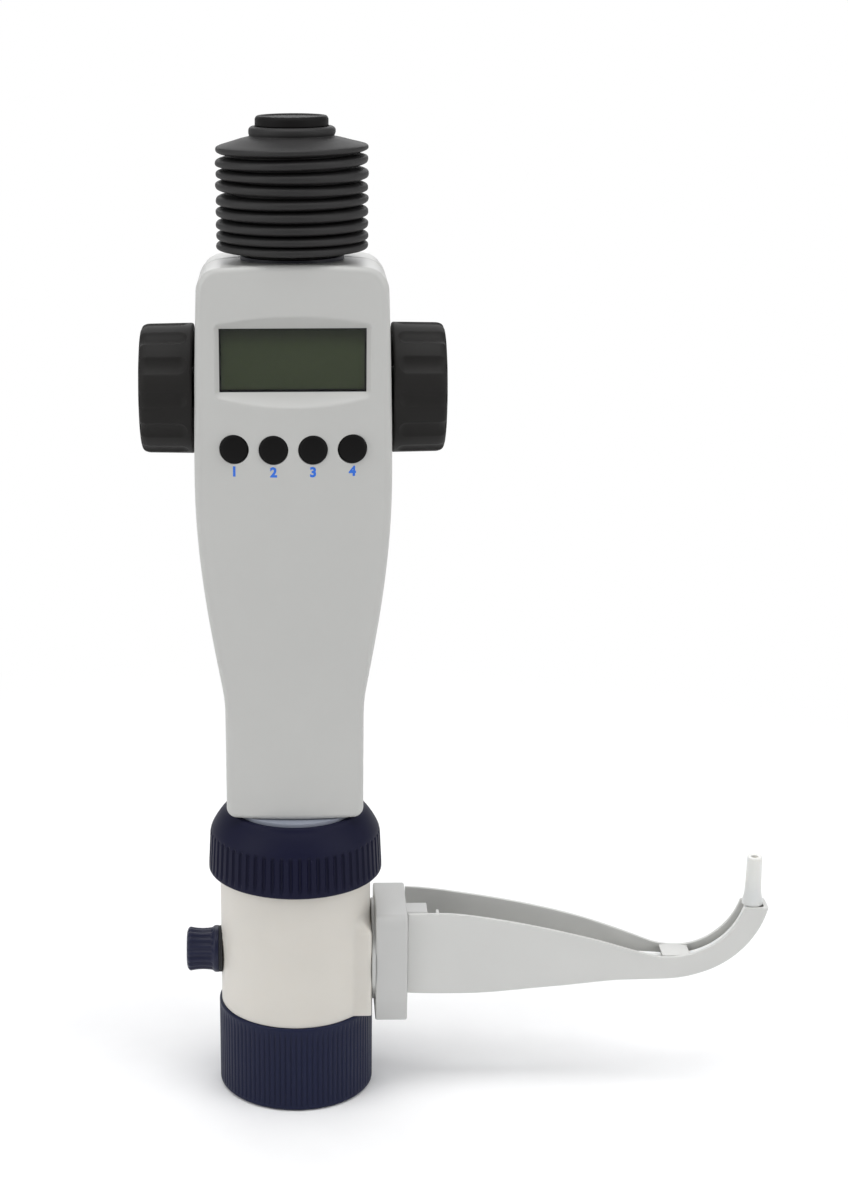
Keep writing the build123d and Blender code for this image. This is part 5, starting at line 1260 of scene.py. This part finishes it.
# Floor, light and camera
# A white floor that keeps the shadow and is plain white to the camera, a soft even studio light from both
# sides, and the camera at the photograph's angle.
FLOOR_HALF = 40.0
CAMERA_PLACE = (0.0, -0.722, 0.3865)
CAMERA_PITCH = 74.0
CAMERA_ROLL = 0.3
CAMERA_LENS = 66.0
CAMERA_SHIFT = 0.111

floor_mesh = bpy.data.meshes.new("studio_floor")
floor_corners = [(x * FLOOR_HALF, y * FLOOR_HALF, 0) for x, y in ((-1, -1), (1, -1), (1, 1), (-1, 1))]
floor_mesh.from_pydata(floor_corners, [], [(0, 1, 2, 3)])
floor = bpy.data.objects.new("studio_floor", floor_mesh)
bpy.context.scene.collection.objects.link(floor)


def white_beyond(material, near, far):
    """Fades a floor into plain white for the camera, mirrors and glass, from the distance near to far."""
    tree = material.node_tree
    place = tree.nodes["Texture Coordinate"].outputs["Object"]
    level = node(tree, "VectorMath", {0: place}, operation="LENGTH").outputs["Value"]
    spread = {"Value": level, "From Min": near, "From Max": far}
    fade = node(tree, "MapRange", spread, interpolation_type="SMOOTHSTEP")
    rays = node(tree, "LightPath").outputs
    seen = larger(tree, rays["Is Camera Ray"], rays["Is Glossy Ray"])
    seen = larger(tree, seen, rays["Is Transmission Ray"])
    share = node(tree, "Math", {0: seen, 1: fade.outputs["Result"]}, operation="MULTIPLY")
    glow = node(tree, "Emission", {"Color": (1, 1, 1, 1), "Strength": 1.0})
    mix = node(tree, "MixShader", {
        "Fac": share.outputs["Value"],
        1: tree.nodes["Principled BSDF"].outputs["BSDF"],
        2: glow.outputs["Emission"],
    })
    fill(tree, tree.nodes["Material Output"], {"Surface": mix.outputs["Shader"]})


paper = moulded("floor paper", (0.93, 0.93, 0.93), 0.9, 0.002, 0.00002, 0.01, shine=0.0)
white_beyond(paper, 0.16, 0.5)
floor_mesh.materials.append(paper)

world = bpy.data.worlds.new("studio")
world.use_nodes = True
bpy.context.scene.world = world
sky = world.node_tree
sky_light = sky.nodes["Background"]
fill(sky, sky_light, {"Color": (0.96, 0.97, 1.0, 1), "Strength": 0.43})
sky_white = node(sky, "Background", {"Color": (1, 1, 1, 1)})
sky_rays = node(sky, "LightPath").outputs
choose = node(sky, "MixShader", {
    "Fac": larger(sky, sky_rays["Is Camera Ray"], sky_rays["Is Transmission Ray"]),
    1: sky_light.outputs["Background"],
    2: sky_white.outputs["Background"],
})
fill(sky, sky.nodes["World Output"], {"Surface": choose.outputs["Shader"]})


def lamp(name, place, aim, size, power):
    """A square soft light at a place in metres, turned to face aim."""
    light = bpy.data.lights.new(name, "AREA")
    light.shape = "RECTANGLE"
    light.size, light.size_y = size
    light.energy = power
    lit = bpy.data.objects.new(name, light)
    bpy.context.scene.collection.objects.link(lit)
    lit.location = place
    away = np.array(place) - np.array(aim)
    flat = math.hypot(away[0], away[1])
    lit.rotation_euler = (math.atan2(flat, away[2]), 0, math.atan2(away[1], away[0]) + math.pi / 2)


lamp("left_softbox", (-1.1, -0.55, 0.75), (0, 0, 0.17), (0.9, 1.2), 6.8)
lamp("right_softbox", (1.1, -0.55, 0.75), (0, 0, 0.17), (0.9, 1.2), 6.4)
lamp("top_softbox", (0, -0.1, 1.35), (0, 0, 0.2), (1.0, 0.8), 9.0)
lamp("back_softbox", (0, 1.1, 0.8), (0, 0, 0.2), (1.2, 0.8), 5.0)

lens = bpy.data.cameras.new("camera")
lens.lens = CAMERA_LENS
lens.shift_x = CAMERA_SHIFT
camera = bpy.data.objects.new("camera", lens)
bpy.context.scene.collection.objects.link(camera)
camera.location = CAMERA_PLACE
camera.rotation_euler = (math.radians(CAMERA_PITCH), math.radians(CAMERA_ROLL), 0)
bpy.context.scene.camera = camera
bpy.context.scene.view_settings.view_transform = "Standard"

bpy.context.view_layer.update()
